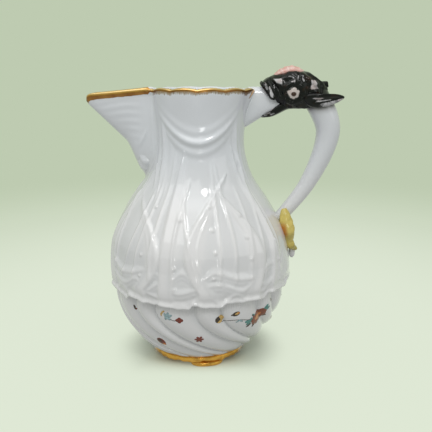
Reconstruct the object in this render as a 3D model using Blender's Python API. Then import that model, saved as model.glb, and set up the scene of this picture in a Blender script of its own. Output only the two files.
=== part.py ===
"""Milk jug in white glazed porcelain, with a beak spout and a handle shaped as a leaping sea beast.

A relief-moulded pear body laps over a spirally fluted bowl, which stands on a gilt foot ring and four
gilt pads. The pieces are moulded apart and luted together before firing, so each is its own solid.

Metres, +Z up. The origin is on the table, under the middle of the jug's length. The spout points to -X
and the handle to +X. The body is turned about an upright axis at AXIS_X.
"""

import math

import bmesh
import bpy
from mathutils import Vector
from mathutils.geometry import interpolate_bezier

# Joints between luted pieces
CLEARANCE = 0.0003

# Body, as bands that stack up from the table, with the radius at the top of each band
FOOT_RISE = 0.0055
BOWL_RISE = 0.0385
BELLY_RISE = 0.0110
FLANK_RISE = 0.0180
SHOULDER_RISE = 0.0150
WAIST_RISE = 0.0160
NECK_RISE = 0.0180
RIM_RISE = 0.0280
BOWL_FOOT_RADIUS = 0.0275
SKIRT_RADIUS = 0.0500
BELLY_RADIUS = 0.0506
FLANK_RADIUS = 0.0468
SHOULDER_RADIUS = 0.0388
WAIST_RADIUS = 0.0287
NECK_RADIUS = 0.0244
RIM_RADIUS = 0.0276
WALL = 0.0032
SKIRT_LIP = 0.0019
SPIGOT_WALL = 0.0020
LAP = 0.0060
FLOOR = 0.0040

# Relief and edges of the upper body
RIM_ROUND = 0.0010
RIM_LOBES = 12
RIM_LOBE_DEPTH = 0.0012
SKIRT_WAVES = 9
SKIRT_SURGES = 4
SKIRT_SURGE_PHASE = math.radians(34)
SKIRT_WAVE_DEPTH = 0.0013
SWAG_START = math.radians(36)
SWAG_SPAN = math.radians(108)
SWAG_RELIEF = 0.0016
SWAG_WIDTH = 0.0060
SWAG_DROP = 0.0150
SWAG_BELOW_RIM = 0.0110
LEAVES = 7
LEAF_START = math.radians(34)
LEAF_PITCH = math.radians(24)
LEAF_LEAN = math.radians(15)
LEAF_ABOVE_SKIRT = 0.0080
LEAF_LENGTH = 0.0580
LEAF_UNEVEN = 0.0130
LEAF_HALF_WIDTH = 0.0085
LEAF_RELIEF = 0.0019
FOAM_ROWS = 3
FOAM_PITCH = math.radians(26)
FOAM_DRIFT = math.radians(6)
FOAM_ABOVE_SKIRT = 0.0020
FOAM_STEP = 0.0060
FOAM_RISE = 0.0045
FOAM_FALL = 0.0045
FOAM_EDGE = 0.0022
FOAM_RELIEF = 0.0013
FOAM_SINK = 0.0008
FOAM_HEIGHT = 0.0180
FOAM_BLEND = 0.0080
TAIL_CLEAR = math.radians(18)
TAIL_BLEND = math.radians(10)

# Spiral flutes of the bowl: broad and narrow lobes in turn
FLUTE_PAIRS = 8
FLUTE_DEPTH = 0.0020
FLUTE_TWIST = math.radians(75)
FLUTE_PHASE = math.radians(11)
BROAD_SHARE = 0.7
CREASE_SHARE = 0.62

# Foot
FOOT_RING_HEIGHT = 0.0027
FOOT_RING_RADIUS = 0.0272
FOOT_BORE_RADIUS = 0.0180
FOOT_SCALLOPS = 24
FOOT_SCALLOP_DEPTH = 0.0006
PAD_WIDTH = 0.0175
PAD_LENGTH = 0.0090
PAD_PROUD = 0.0012
PAD_FILLET = 0.0008
PAD_TURN = math.radians(-80)

# Spout
SPOUT_REACH = 0.0602
SPOUT_ROOT = 0.0100
SPOUT_HALF_WIDTH = 0.0115
SPOUT_TIP_HALF_WIDTH = 0.0019
SPOUT_DEPTH = 0.0400
SPOUT_TIP_DEPTH = 0.0045
SPOUT_DIP = 0.0033
SPOUT_WALL = 0.0024
SPOUT_LIP = 0.0030
BOSS_LENGTH = 0.0180
BOSS_WIDTH = 0.0170
BOSS_PROUD = 0.0105

# Sea beast's head, measured from the middle of the head
BRIDGE_SPAN = 0.0042
HEAD_LENGTH = 0.0370
HEAD_HEIGHT = 0.0215
HEAD_WIDTH = 0.0190
HEAD_BELOW_RIM = 0.0015
MOUTH_LIFT = 0.0040
JAW_LENGTH = 0.0180
JAW_GAPE = 0.0130
JAW_HALF_WIDTH = 0.0050
JAW_HALF_HEIGHT = 0.0032
CREST_LENGTH = 0.0160
CREST_HALF_WIDTH = 0.0040
CREST_PROUD = 0.0026
EYE_RADIUS = 0.0033
EYE_PROUD = 0.0010
GILL_PROUD = 0.0096
GILL_HALF_HEIGHT = 0.0036
GILL_HALF_THICKNESS = 0.0016
NAPE_PROUD = 0.0010
NAPE_HALF_HEIGHT = 0.0024

# Bridge from neck to mouth, handle stem and tail
BRIDGE_HEIGHT = 0.0200
BRIDGE_HALF_WIDTH = 0.0058
STEM_BOW_OUT = 0.0186
STEM_BOW_DROP = 0.0215
STEM_TOP_RADIUS = 0.0070
STEM_END_RADIUS = 0.0045
KNEE_RISE = 0.0200
KNEE_OUT = 0.0145
TAIL_RISE = 0.0240
FLUKE_SPREAD = 0.0100
FLUKE_LENGTH = 0.0230
FLUKE_HALF_WIDTH = 0.0042
FLUKE_HALF_THICKNESS = 0.0025
TAIL_TIP_LENGTH = 0.0050
TAIL_TIP_RADIUS = 0.0016

# How finely the round pieces are divided
BODY_STEPS = 96
BODY_ROWS = 24
BOWL_STEPS = 80
BOWL_ROWS = 9
SECTION_SIDES = 16

SKIRT_Z = FOOT_RISE + BOWL_RISE
BELLY_Z = SKIRT_Z + BELLY_RISE
FLANK_Z = BELLY_Z + FLANK_RISE
SHOULDER_Z = FLANK_Z + SHOULDER_RISE
WAIST_Z = SHOULDER_Z + WAIST_RISE
NECK_Z = WAIST_Z + NECK_RISE
RIM_Z = NECK_Z + RIM_RISE
TAIL_Z = BELLY_Z + TAIL_RISE
LAP_Z = SKIRT_Z + LAP
HEAD_X = RIM_RADIUS + BRIDGE_SPAN + HEAD_LENGTH / 2
HEAD_Z = RIM_Z - HEAD_BELOW_RIM
GILL_REACH = HEAD_LENGTH / 2 + GILL_PROUD
AXIS_X = (SPOUT_REACH - HEAD_X - GILL_REACH) / 2

UPRIGHT = Vector((0, 0, 1))
SIDEWAYS = Vector((0, 1, 0))


def smooth_curve(knots):
    """Return a function that runs smoothly through the (place, value) knots."""
    places = [place for place, _ in knots]
    values = [value for _, value in knots]
    last = len(knots) - 1
    slopes = []
    for i in range(last + 1):
        low = max(i - 1, 0)
        high = min(i + 1, last)
        slopes.append((values[high] - values[low]) / (places[high] - places[low]))

    def value_at(place):
        place = min(max(place, places[0]), places[-1])
        i = max(k for k in range(last) if places[k] <= place)
        span = places[i + 1] - places[i]
        t = (place - places[i]) / span
        ease = t * t * (3 - 2 * t)
        start = values[i] + slopes[i] * span * t * (1 - t) ** 2 - values[i] * ease
        end = values[i + 1] * ease - slopes[i + 1] * span * t * t * (1 - t)
        return start + end

    return value_at


body_radius = smooth_curve((
    (SKIRT_Z, SKIRT_RADIUS),
    (BELLY_Z, BELLY_RADIUS),
    (FLANK_Z, FLANK_RADIUS),
    (SHOULDER_Z, SHOULDER_RADIUS),
    (WAIST_Z, WAIST_RADIUS),
    (NECK_Z, NECK_RADIUS),
    (RIM_Z, RIM_RADIUS),
))


def smooth_path(points, steps):
    """Points along a smooth curve that passes through each given point."""
    path = []
    last = len(points) - 1
    for i in range(last):
        before = points[max(i - 1, 0)]
        after = points[min(i + 2, last)]
        start = points[i]
        end = points[i + 1]
        leave = start + (end - before) / 6
        arrive = end - (after - start) / 6
        path += interpolate_bezier(start, leave, arrive, end, steps + 1)[:-1]
    return path + [points[-1]]


def finish(name, bm, material, parent):
    """Make a named object from a closed bmesh, shaded smooth, with its faces pointing out."""
    bmesh.ops.remove_doubles(bm, verts=bm.verts, dist=1e-6)
    bmesh.ops.recalc_face_normals(bm, faces=bm.faces)
    mesh = bpy.data.meshes.new(name)
    bm.to_mesh(mesh)
    bm.free()
    mesh.shade_smooth()
    mesh.set_sharp_from_angle(angle=math.radians(50))
    mesh.materials.append(material)
    piece = bpy.data.objects.new(name, mesh)
    piece.parent = parent
    bpy.context.scene.collection.objects.link(piece)
    return piece


def cutter(name, bm, parent):
    """A guide solid that only cuts its neighbours."""
    guide = finish(name, bm, glaze("guide", (0.5, 0.5, 0.5), 0.5), parent)
    guide.hide_render = True
    guide.display_type = "WIRE"
    return guide


def cut(piece, *guides):
    for guide in guides:
        boolean = piece.modifiers.new(guide.name, "BOOLEAN")
        boolean.operation = "DIFFERENCE"
        boolean.solver = "EXACT"
        boolean.object = guide


def glaze(name, colour, roughness, metallic=0.0):
    """A fired finish; the same name gives the same material."""
    material = bpy.data.materials.get(name)
    if material:
        return material
    material = bpy.data.materials.new(name)
    material.use_nodes = True
    shader = material.node_tree.nodes["Principled BSDF"]
    shader.inputs["Base Color"].default_value = (*colour, 1.0)
    shader.inputs["Roughness"].default_value = roughness
    shader.inputs["Metallic"].default_value = metallic
    return material


def porcelain():
    return glaze("white_porcelain", (0.78, 0.78, 0.77), 0.12)


def gilding():
    return glaze("gilding", (0.52, 0.27, 0.06), 0.25, 1.0)


def black_enamel():
    return glaze("black_enamel", (0.012, 0.012, 0.014), 0.12)


def turned(outline, steps, closed):
    """Turn an outline of (radius, height) pairs once round the upright axis."""
    bm = bmesh.new()
    verts = [bm.verts.new((radius, 0, height)) for radius, height in outline]
    edges = [bm.edges.new(pair) for pair in zip(verts, verts[1:])]
    if closed:
        edges.append(bm.edges.new((verts[-1], verts[0])))
    bmesh.ops.spin(
        bm, geom=verts + edges, axis=UPRIGHT, cent=(0, 0, 0), angle=math.tau, steps=steps, use_merge=True
    )
    bmesh.ops.remove_doubles(bm, verts=bm.verts, dist=1e-6)
    return bm


def loft(rings):
    """A closed solid through a row of closed outlines with equal numbers of points."""
    bm = bmesh.new()
    loops = [[bm.verts.new(point) for point in ring] for ring in rings]
    for near, far in zip(loops, loops[1:]):
        for k in range(len(near)):
            after = (k + 1) % len(near)
            bm.faces.new((near[k], near[after], far[after], far[k]))
    bm.faces.new(loops[0])
    bm.faces.new(loops[-1])
    return bm


def oval(centre, across, lift, sides, squareness):
    """Points round an oval; a squareness under 1 fills out its corners."""
    points = []
    for k in range(sides):
        turn = math.tau * (k + 0.5) / sides
        along = math.copysign(abs(math.cos(turn)) ** squareness, math.cos(turn))
        up = math.copysign(abs(math.sin(turn)) ** squareness, math.sin(turn))
        points.append(centre + across * along + lift * up)
    return points


def sweep(path, across, half_width, half_height, sides=SECTION_SIDES, squareness=1.0, grow=0.0):
    """Carry an oval along a path; the half sizes are functions of the share of the way along it."""
    rings = []
    last = len(path) - 1
    for i, point in enumerate(path):
        share = i / last
        heading = (path[min(i + 1, last)] - path[max(i - 1, 0)]).normalized()
        side = (across - heading * across.dot(heading)).normalized()
        lift = side.cross(heading).normalized()
        wide = side * (half_width(share) + grow)
        tall = lift * (half_height(share) + grow)
        rings.append(oval(point, wide, tall, sides, squareness))
    return loft(rings)


def rounded(size, fullness=2.2, least=0.12):
    """Half size along a bulging form that is blunt at both ends."""

    def half(share):
        swell = (1 - abs(2 * share - 1) ** fullness) ** (1 / fullness)
        return size * max(swell, least)

    return half


def tapered(start, middle, end):
    return smooth_curve(((0.0, start), (0.5, middle), (1.0, end)))


def azimuth(co):
    return math.atan2(co.y, co.x)


def on_body(sideways, height, lift):
    """A point off the body's handle side: sideways is measured round the body, lift straight out."""
    radius = body_radius(height)
    turn = sideways / radius
    return Vector(((radius + lift) * math.cos(turn), (radius + lift) * math.sin(turn), height))


def swag_relief(turn, height):
    """Drapery festoons round the neck, one on each side between the spout and the handle."""
    share = (abs(turn) - SWAG_START) / SWAG_SPAN
    if not 0 < share < 1:
        return 0.0
    fade = math.sin(math.pi * share)
    middle = RIM_Z - SWAG_BELOW_RIM - SWAG_DROP * fade
    return SWAG_RELIEF * fade * math.exp(-(((height - middle) / SWAG_WIDTH) ** 2))


def leaf_relief(turn, height):
    """Long leaves that stand up from the foam, each with a crisp edge on one side."""
    raised = 0.0
    for k in range(LEAVES):
        length = LEAF_LENGTH + LEAF_UNEVEN * math.cos(2.3 * k)
        share = max(0.0, (height - SKIRT_Z - LEAF_ABOVE_SKIRT) / length)
        if share >= 1:
            continue
        lean = LEAF_LEAN * math.sin(1.9 * k + 0.6)
        sway = lean * (1.7 * share ** 2 - 0.9 * math.sin(math.pi * share))
        half_width = LEAF_HALF_WIDTH * (1 - share ** 2) ** 0.8
        across = (abs(turn) - LEAF_START - LEAF_PITCH * k - sway) * body_radius(height) / half_width
        if k % 3 == 1:
            across = -across
        if abs(across) < 1:
            slope = min(1.0, (1 + across) / 1.75) ** 1.5
            edge = min(1.0, (1 - across) / 0.4)
            raised = max(raised, (1 - 0.45 * share) * slope * edge)
    return LEAF_RELIEF * raised


def foam_relief(turn, height):
    """Rows of soft waves over the skirt, steep above their crests and falling away below."""
    raised = 0.0
    for row in range(FOAM_ROWS):
        drift = FOAM_DRIFT * math.sin(5 * abs(turn) + 2 * row)
        place = (abs(turn) + drift) / FOAM_PITCH + row / FOAM_ROWS
        crest = SKIRT_Z + FOAM_ABOVE_SKIRT + FOAM_STEP * row + FOAM_RISE * math.sin(math.pi * place) ** 2
        above = height - crest
        if above < 0:
            raised = max(raised, math.exp(above / FOAM_FALL))
        else:
            raised = max(raised, math.exp(-((above / FOAM_EDGE) ** 2)))
    return FOAM_RELIEF * raised


def body_relief(turn, height):
    """The whole relief: the foam sinks into the wall, and all dies away beside the tail, on plain wall."""
    sunk = min(1.0, max(0.0, 1 - (height - SKIRT_Z - FOAM_HEIGHT) / FOAM_BLEND))
    growth = max(leaf_relief(turn, height), foam_relief(turn, height)) - FOAM_SINK * sunk
    clear = min(1.0, max(0.0, (abs(turn) - TAIL_CLEAR) / TAIL_BLEND))
    return growth * clear + swag_relief(turn, height)


def skirt_wave(turn):
    """Ripples of the skirt's edge, which swell and sink round the jug."""
    surge = math.cos(SKIRT_SURGES * turn + SKIRT_SURGE_PHASE)
    return SKIRT_WAVE_DEPTH * math.cos(SKIRT_WAVES * turn) * surge


def rim_lobe(turn):
    return -RIM_LOBE_DEPTH * (1 - abs(math.sin(RIM_LOBES * turn / 2)))


def body_outline(grow):
    """The upper body's outer wall, from the skirt up to the rounding of the rim."""
    rise = RIM_Z - RIM_ROUND - SKIRT_Z
    heights = [SKIRT_Z + rise * (k / BODY_ROWS) ** 1.25 for k in range(BODY_ROWS + 1)]
    return [(body_radius(height) + grow, height) for height in heights]


def raise_relief(bm):
    """Push the turned body's outer wall out into its leaves, foam and drapery."""
    for vert in bm.verts:
        radius = math.hypot(vert.co.x, vert.co.y)
        if radius > body_radius(vert.co.z) - WALL / 2:
            stretch = 1 + body_relief(azimuth(vert.co), vert.co.z) / radius
            vert.co.x *= stretch
            vert.co.y *= stretch


def shape_edges(bm):
    """Wave the skirt's lower edge and lobe the rim; both fade out within the lap's height."""
    for vert in bm.verts:
        turn = azimuth(vert.co)
        low = max(0.0, 1 - (vert.co.z - SKIRT_Z) / LAP)
        high = max(0.0, 1 - (RIM_Z - vert.co.z) / LAP)
        vert.co.z += low * skirt_wave(turn) + high * rim_lobe(turn)


def body_guide(axis):
    """The body's outside with clearance, solid right through, for whatever is luted on to it."""
    outline = body_outline(CLEARANCE)
    outline.insert(0, (0.0, SKIRT_Z))
    outline.append((outline[-1][0], RIM_Z + WALL))
    outline.append((0.0, RIM_Z + WALL))
    bm = turned(outline, BODY_STEPS, closed=False)
    raise_relief(bm)
    return cutter("body_guide", bm, axis)


def make_upper_body(axis, channel):
    outline = body_outline(0.0)
    outline.append((RIM_RADIUS - WALL / 2, RIM_Z))
    inner_rows = BODY_ROWS // 3
    inner_base = LAP_Z + CLEARANCE
    inner_top = RIM_Z - RIM_ROUND
    for k in range(inner_rows + 1):
        height = inner_top - (inner_top - inner_base) * k / inner_rows
        outline.append((body_radius(height) - WALL, height))
    outline.append((body_radius(inner_base) - SKIRT_LIP, inner_base))
    outline.append((SKIRT_RADIUS - SKIRT_LIP, SKIRT_Z))
    bm = turned(outline, BODY_STEPS, closed=True)
    raise_relief(bm)
    shape_edges(bm)
    piece = finish("upper_body", bm, porcelain(), axis)
    cut(piece, channel)
    return piece


def spigot_radius(height):
    return body_radius(height) - SKIRT_LIP - CLEARANCE


def flute(turn):
    """Height of the flutes before they are twisted, from 0 in the creases to 1 on the crowns."""
    place = (turn / math.tau * FLUTE_PAIRS) % 1.0
    if place < BROAD_SHARE:
        return 0.85 * math.sin(math.pi * place / BROAD_SHARE) ** 0.55
    return max(0.0, math.sin(math.pi * (1 - place) / (1 - BROAD_SHARE))) ** 0.7


def make_fluted_bowl(axis):
    shoulder = SKIRT_Z - SKIRT_WAVE_DEPTH - 2 * CLEARANCE
    rise = shoulder - FOOT_RISE
    top_radius = spigot_radius(SKIRT_Z)

    def bowl_radius(share):
        swell = (1 - (1 - share) ** 2) ** 0.9
        return BOWL_FOOT_RADIUS + (top_radius - BOWL_FOOT_RADIUS) * swell

    outline = [(0.0, FOOT_RISE)]
    shares = [(k / BOWL_ROWS) ** 1.5 for k in range(BOWL_ROWS + 1)]
    for share in shares:
        outline.append((bowl_radius(share), FOOT_RISE + rise * share))
    outline.append((spigot_radius(LAP_Z), LAP_Z))
    outline.append((spigot_radius(LAP_Z) - SPIGOT_WALL, LAP_Z))
    for share in reversed(shares[1::2]):
        height = FOOT_RISE + FLOOR + (rise - FLOOR) * share
        inside = bowl_radius(max(0.0, (height - FOOT_RISE) / rise)) - WALL
        outline.append((inside, height))
    outline.append((0.0, FOOT_RISE + FLOOR))
    bm = turned(outline, BOWL_STEPS, closed=False)
    for vert in bm.verts:
        turn = azimuth(vert.co)
        radius = math.hypot(vert.co.x, vert.co.y)
        share = min(1.0, max(0.0, (vert.co.z - FOOT_RISE) / rise))
        twist = FLUTE_PHASE
        if vert.co.z < LAP_Z - CLEARANCE and radius > bowl_radius(share) - WALL / 2:
            level = CREASE_SHARE + (1 - CREASE_SHARE) * share ** 6
            radius += FLUTE_DEPTH * min(1.0, 5 * share) * (flute(turn) - level)
            twist += FLUTE_TWIST * (1 - share) ** 2
        vert.co.x = radius * math.cos(turn + twist)
        vert.co.y = radius * math.sin(turn + twist)
    return finish("fluted_bowl", bm, porcelain(), axis)


def make_foot_ring(axis):
    top = FOOT_RISE - CLEARANCE
    base = top - FOOT_RING_HEIGHT
    outline = (
        (FOOT_RING_RADIUS, top),
        (FOOT_RING_RADIUS - FOOT_SCALLOP_DEPTH, (top + base) / 2),
        (FOOT_RING_RADIUS - FOOT_SCALLOP_DEPTH / 2, base),
        (FOOT_BORE_RADIUS, base),
        (FOOT_BORE_RADIUS, top),
    )
    bm = turned(outline, FOOT_SCALLOPS * 4, closed=True)
    for vert in bm.verts:
        radius = math.hypot(vert.co.x, vert.co.y)
        if radius < (FOOT_RING_RADIUS + FOOT_BORE_RADIUS) / 2:
            continue
        lobe = abs(math.sin(FOOT_SCALLOPS * azimuth(vert.co) / 2))
        stretch = 1 + FOOT_SCALLOP_DEPTH * lobe / radius
        vert.co.x *= stretch
        vert.co.y *= stretch
    return finish("foot_ring", bm, gilding(), axis)


def make_foot_pad(axis, name, turn):
    """A round-ended pad under the foot ring, flat where it stands."""
    height = FOOT_RISE - FOOT_RING_HEIGHT - 2 * CLEARANCE
    bm = bmesh.new()
    bmesh.ops.create_cube(bm, size=1.0)
    bmesh.ops.scale(bm, vec=(PAD_LENGTH, PAD_WIDTH, height), verts=bm.verts)
    upright = [e for e in bm.edges if abs(e.verts[0].co.z - e.verts[1].co.z) > height / 2]
    bmesh.ops.bevel(
        bm, geom=upright, offset=0.4 * PAD_LENGTH, segments=5, profile=0.5, affect="EDGES", material=-1
    )
    level = [e for e in bm.edges if abs(e.verts[0].co.z - e.verts[1].co.z) < height / 2]
    fillet = min(PAD_FILLET, 0.4 * height)
    bmesh.ops.bevel(bm, geom=level, offset=fillet, segments=2, profile=0.5, affect="EDGES", material=-1)
    pad = finish(name, bm, gilding(), axis)
    reach = FOOT_RING_RADIUS + PAD_PROUD - PAD_LENGTH / 2
    pad.location = (reach * math.cos(turn), reach * math.sin(turn), height / 2)
    pad.rotation_euler.z = turn
    return pad


def spout_solid(inset, root, tip, top_lift):
    """The beak as a filled solid, drawn in all round by inset, from root to tip."""
    stations = 12
    rings = []
    length = SPOUT_REACH - NECK_RADIUS
    for i in range(stations + 1):
        place = root + (tip - root) * math.sin(math.pi / 2 * i / stations)
        share = max(0.0, (place - NECK_RADIUS) / length)
        half_width = SPOUT_TIP_HALF_WIDTH + (SPOUT_HALF_WIDTH - SPOUT_TIP_HALF_WIDTH) * (1 - share) ** 0.9
        depth = SPOUT_TIP_DEPTH + (SPOUT_DEPTH - SPOUT_TIP_DEPTH) * (1 - share ** 1.3)
        top = RIM_Z - SPOUT_DIP * share ** 1.5
        half = max(half_width - inset, CLEARANCE)
        ring = [Vector((-place, half, top + top_lift))]
        for k in range(1, SECTION_SIDES):
            turn = math.pi * k / SECTION_SIDES
            ring.append(Vector((-place, half * math.cos(turn), top - (depth - inset) * math.sin(turn))))
        ring.append(Vector((-place, -half, top + top_lift)))
        rings.append(ring)
    return loft(rings)


def make_spout(axis, body, channel):
    piece = finish("spout", spout_solid(0.0, SPOUT_ROOT, SPOUT_REACH, 0.0), porcelain(), axis)
    cut(piece, body, channel)
    return piece


def make_spout_boss(axis, body, spout):
    """A shell boss that fills the angle between the neck and the spout's keel, tapering downwards."""
    top = RIM_Z - SPOUT_DEPTH + BOSS_LENGTH / 2
    places = []
    for step, proud in ((0.0, 0.6), (0.5, 0.35), (1.0, 0.0)):
        height = top - step * BOSS_LENGTH
        places.append(Vector((-body_radius(height) - proud * BOSS_PROUD, 0, height)))
    wide = tapered(0.4 * BOSS_WIDTH, 0.5 * BOSS_WIDTH, 0.2 * BOSS_WIDTH)
    thick = tapered(0.5 * BOSS_PROUD, 0.4 * BOSS_PROUD, 0.15 * BOSS_PROUD)
    bm = sweep(smooth_path(places, 4), SIDEWAYS, wide, thick)
    piece = finish("spout_boss", bm, porcelain(), axis)
    cut(piece, body, spout)
    return piece


def head_middle(share):
    """Height of the head's middle line, which rises towards the upper lip."""
    return MOUTH_LIFT * (0.9 * (1 - share) ** 3 + 0.2 * share ** 3)


head_swell = rounded(1.0)
head_half_width = rounded(HEAD_WIDTH / 2)


def head_half_height(share):
    """Half the head's height, slimmer towards the lip than towards the nape."""
    return HEAD_HEIGHT / 2 * head_swell(share) * min(1.0, 0.72 + 0.62 * share)


def head_place(share, height=0.0):
    """A point in the head's mid plane, from the lip (0) to the nape (1)."""
    return Vector(((share - 0.5) * HEAD_LENGTH, 0, head_middle(share) + height))


def head_solid(grow):
    stations = 14
    path = [head_place(i / stations) for i in range(stations + 1)]
    return sweep(path, SIDEWAYS, head_half_width, head_half_height, SECTION_SIDES + 4, 0.9, grow)


def make_jaw(seat, head, bridge):
    """The lower jaw, which closes up under the bridge."""
    root = head_place(0.5, -HEAD_HEIGHT / 3)
    bend = root + Vector((-0.45 * JAW_LENGTH, 0, -0.35 * (JAW_GAPE - HEAD_HEIGHT / 3)))
    tip = Vector((root.x - JAW_LENGTH, 0, -JAW_GAPE))
    path = smooth_path([root, bend, tip], 4)
    wide = tapered(JAW_HALF_WIDTH, JAW_HALF_WIDTH, JAW_HALF_WIDTH / 3)
    tall = tapered(JAW_HALF_HEIGHT, JAW_HALF_HEIGHT, JAW_HALF_HEIGHT / 3)
    cut(finish("lower_jaw", sweep(path, SIDEWAYS, wide, tall), black_enamel(), seat), head, bridge)


def make_crest(seat, head):
    middle = 0.42
    path = []
    for place in (-0.5, -0.3, -0.1, 0.1, 0.3, 0.5):
        share = middle + place * CREST_LENGTH / HEAD_LENGTH
        path.append(head_place(share, head_half_height(share)))
    pink = glaze("pink_enamel", (0.73, 0.36, 0.29), 0.15)
    wide = rounded(CREST_HALF_WIDTH)
    tall = rounded(CREST_PROUD)
    piece = finish("crest", sweep(path, SIDEWAYS, wide, tall, 12), pink, seat)
    cut(piece, head)


def make_eye(seat, head, name, side):
    """A lens-shaped eye on the widest part of the head."""
    share = 0.48
    bm = bmesh.new()
    bmesh.ops.create_uvsphere(bm, u_segments=16, v_segments=10, radius=EYE_RADIUS)
    bmesh.ops.scale(bm, vec=(1, (EYE_PROUD + 2 * CLEARANCE) / EYE_RADIUS, 1), verts=bm.verts)
    white = glaze("eye_white", (0.62, 0.58, 0.53), 0.15)
    piece = finish(name, bm, white, seat)
    piece.location = head_place(share) + SIDEWAYS * side * head_half_width(share)
    cut(piece, head)


def make_gill_fin(seat, head, stem, name, side):
    """A boat-shaped fin that runs back from the cheek."""
    flare = Vector((0, 0.35 * side, 0.94))
    root = Vector((0.17 * HEAD_LENGTH, 0.34 * HEAD_WIDTH * side, -0.16 * HEAD_HEIGHT))
    belly = Vector((0.55 * GILL_REACH, 0.47 * HEAD_WIDTH * side, -0.22 * HEAD_HEIGHT))
    tip = Vector((GILL_REACH, 0.40 * HEAD_WIDTH * side, -0.12 * HEAD_HEIGHT))
    path = smooth_path([root, belly, tip], 4)
    tall = tapered(0.7 * GILL_HALF_HEIGHT, GILL_HALF_HEIGHT, 0.2 * GILL_HALF_HEIGHT)
    thick = tapered(GILL_HALF_THICKNESS, GILL_HALF_THICKNESS, 0.3 * GILL_HALF_THICKNESS)
    piece = finish(name, sweep(path, flare, tall, thick, 10), black_enamel(), seat)
    cut(piece, head, stem)


def make_nape_fin(seat, head):
    root = head_place(0.72, 0.2 * HEAD_HEIGHT)
    tip = Vector((HEAD_LENGTH / 2 + NAPE_PROUD, 0, 0.18 * HEAD_HEIGHT))
    path = smooth_path([root, tip], 5)
    tall = tapered(NAPE_HALF_HEIGHT, NAPE_HALF_HEIGHT, 0.8 * NAPE_HALF_HEIGHT)
    piece = finish("nape_fin", sweep(path, SIDEWAYS, tall, tall, 10, 0.8), black_enamel(), seat)
    cut(piece, head)


def bridge_solid(grow):
    """The white block that carries the head off the neck and fills its open mouth."""
    neck_end = Vector((RIM_RADIUS - 2 * WALL, 0, RIM_Z - BRIDGE_HEIGHT / 2))
    mouth_end = Vector((HEAD_X - 0.16 * HEAD_LENGTH, 0, HEAD_Z - 0.2 * HEAD_HEIGHT))
    path = smooth_path([neck_end, mouth_end], 6)
    tall = tapered(BRIDGE_HEIGHT / 2, 0.36 * BRIDGE_HEIGHT, 0.16 * BRIDGE_HEIGHT)
    wide = tapered(BRIDGE_HALF_WIDTH, 0.9 * BRIDGE_HALF_WIDTH, 0.7 * BRIDGE_HALF_WIDTH)
    return sweep(path, SIDEWAYS, wide, tall, SECTION_SIDES, 0.7, grow)


def stem_solid(grow):
    """The beast's tapering body, from behind the head out over the bow and in to the jug's flank."""
    tail_x = body_radius(TAIL_Z)
    points = [
        Vector((HEAD_X + 0.30 * HEAD_LENGTH, 0, HEAD_Z - 0.15 * HEAD_HEIGHT)),
        Vector((HEAD_X + STEM_BOW_OUT, 0, HEAD_Z - STEM_BOW_DROP)),
        Vector((tail_x + KNEE_OUT, 0, TAIL_Z + KNEE_RISE)),
        Vector((tail_x - WALL, 0, TAIL_Z - WALL)),
    ]
    path = smooth_path(points, 6)
    half = tapered(STEM_TOP_RADIUS, 0.95 * STEM_TOP_RADIUS, STEM_END_RADIUS)
    return sweep(path, SIDEWAYS, half, half, grow=grow)


def make_stem(axis, body, head):
    cut(finish("handle_stem", stem_solid(0.0), porcelain(), axis), body, head)


def fluke_path(places):
    """Points just off the body, from (sideways, height, extra lift) places."""
    rest = FLUKE_HALF_THICKNESS + CLEARANCE
    return smooth_path([on_body(sideways, height, rest + lift) for sideways, height, lift in places], 4)


def make_fluke(axis, body, stem, name, places):
    yellow = glaze("yellow_enamel", (0.58, 0.45, 0.07), 0.2)
    wide = tapered(0.6 * FLUKE_HALF_WIDTH, FLUKE_HALF_WIDTH, 0.3 * FLUKE_HALF_WIDTH)
    thick = tapered(FLUKE_HALF_THICKNESS, FLUKE_HALF_THICKNESS, 0.4 * FLUKE_HALF_THICKNESS)
    bm = sweep(fluke_path(places), SIDEWAYS, wide, thick, 12)
    cut(finish(name, bm, yellow, axis), stem, body)


def make_tail(axis, body, stem):
    """Three flukes spread over the body where the stem meets it, and the tip below them."""
    top = TAIL_Z + 0.18 * FLUKE_LENGTH
    base = top - FLUKE_LENGTH
    for name, side in (("tail_fluke_front", -1), ("tail_fluke_back", 1)):
        make_fluke(axis, body, stem, name, (
            (0.5 * side * FLUKE_SPREAD, top, 0.0),
            (side * FLUKE_SPREAD, top - 0.35 * FLUKE_LENGTH, 0.0),
            (side * FLUKE_SPREAD, top - 0.7 * FLUKE_LENGTH, 0.0),
            (0.75 * side * FLUKE_SPREAD, base, 0.0),
        ))
    make_fluke(axis, body, stem, "tail_fluke_lower", (
        (0.0, TAIL_Z, 0.0),
        (0.0, TAIL_Z - 0.5 * FLUKE_LENGTH, 0.0),
        (0.0, TAIL_Z - 0.85 * FLUKE_LENGTH, FLUKE_HALF_THICKNESS),
    ))
    tip_top = TAIL_Z - 0.8 * FLUKE_LENGTH
    lift = TAIL_TIP_RADIUS + CLEARANCE
    places = [on_body(0.0, tip_top - step * TAIL_TIP_LENGTH, lift) for step in (0.0, 0.25, 0.5, 0.75, 1.0)]
    round_end = rounded(TAIL_TIP_RADIUS, least=0.3)
    cut(finish("tail_tip", sweep(places, SIDEWAYS, round_end, round_end, 10), porcelain(), axis), body)


def empty(name, place, parent=None):
    marker = bpy.data.objects.new(name, None)
    marker.location = place
    marker.parent = parent
    bpy.context.scene.collection.objects.link(marker)
    return marker


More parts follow.
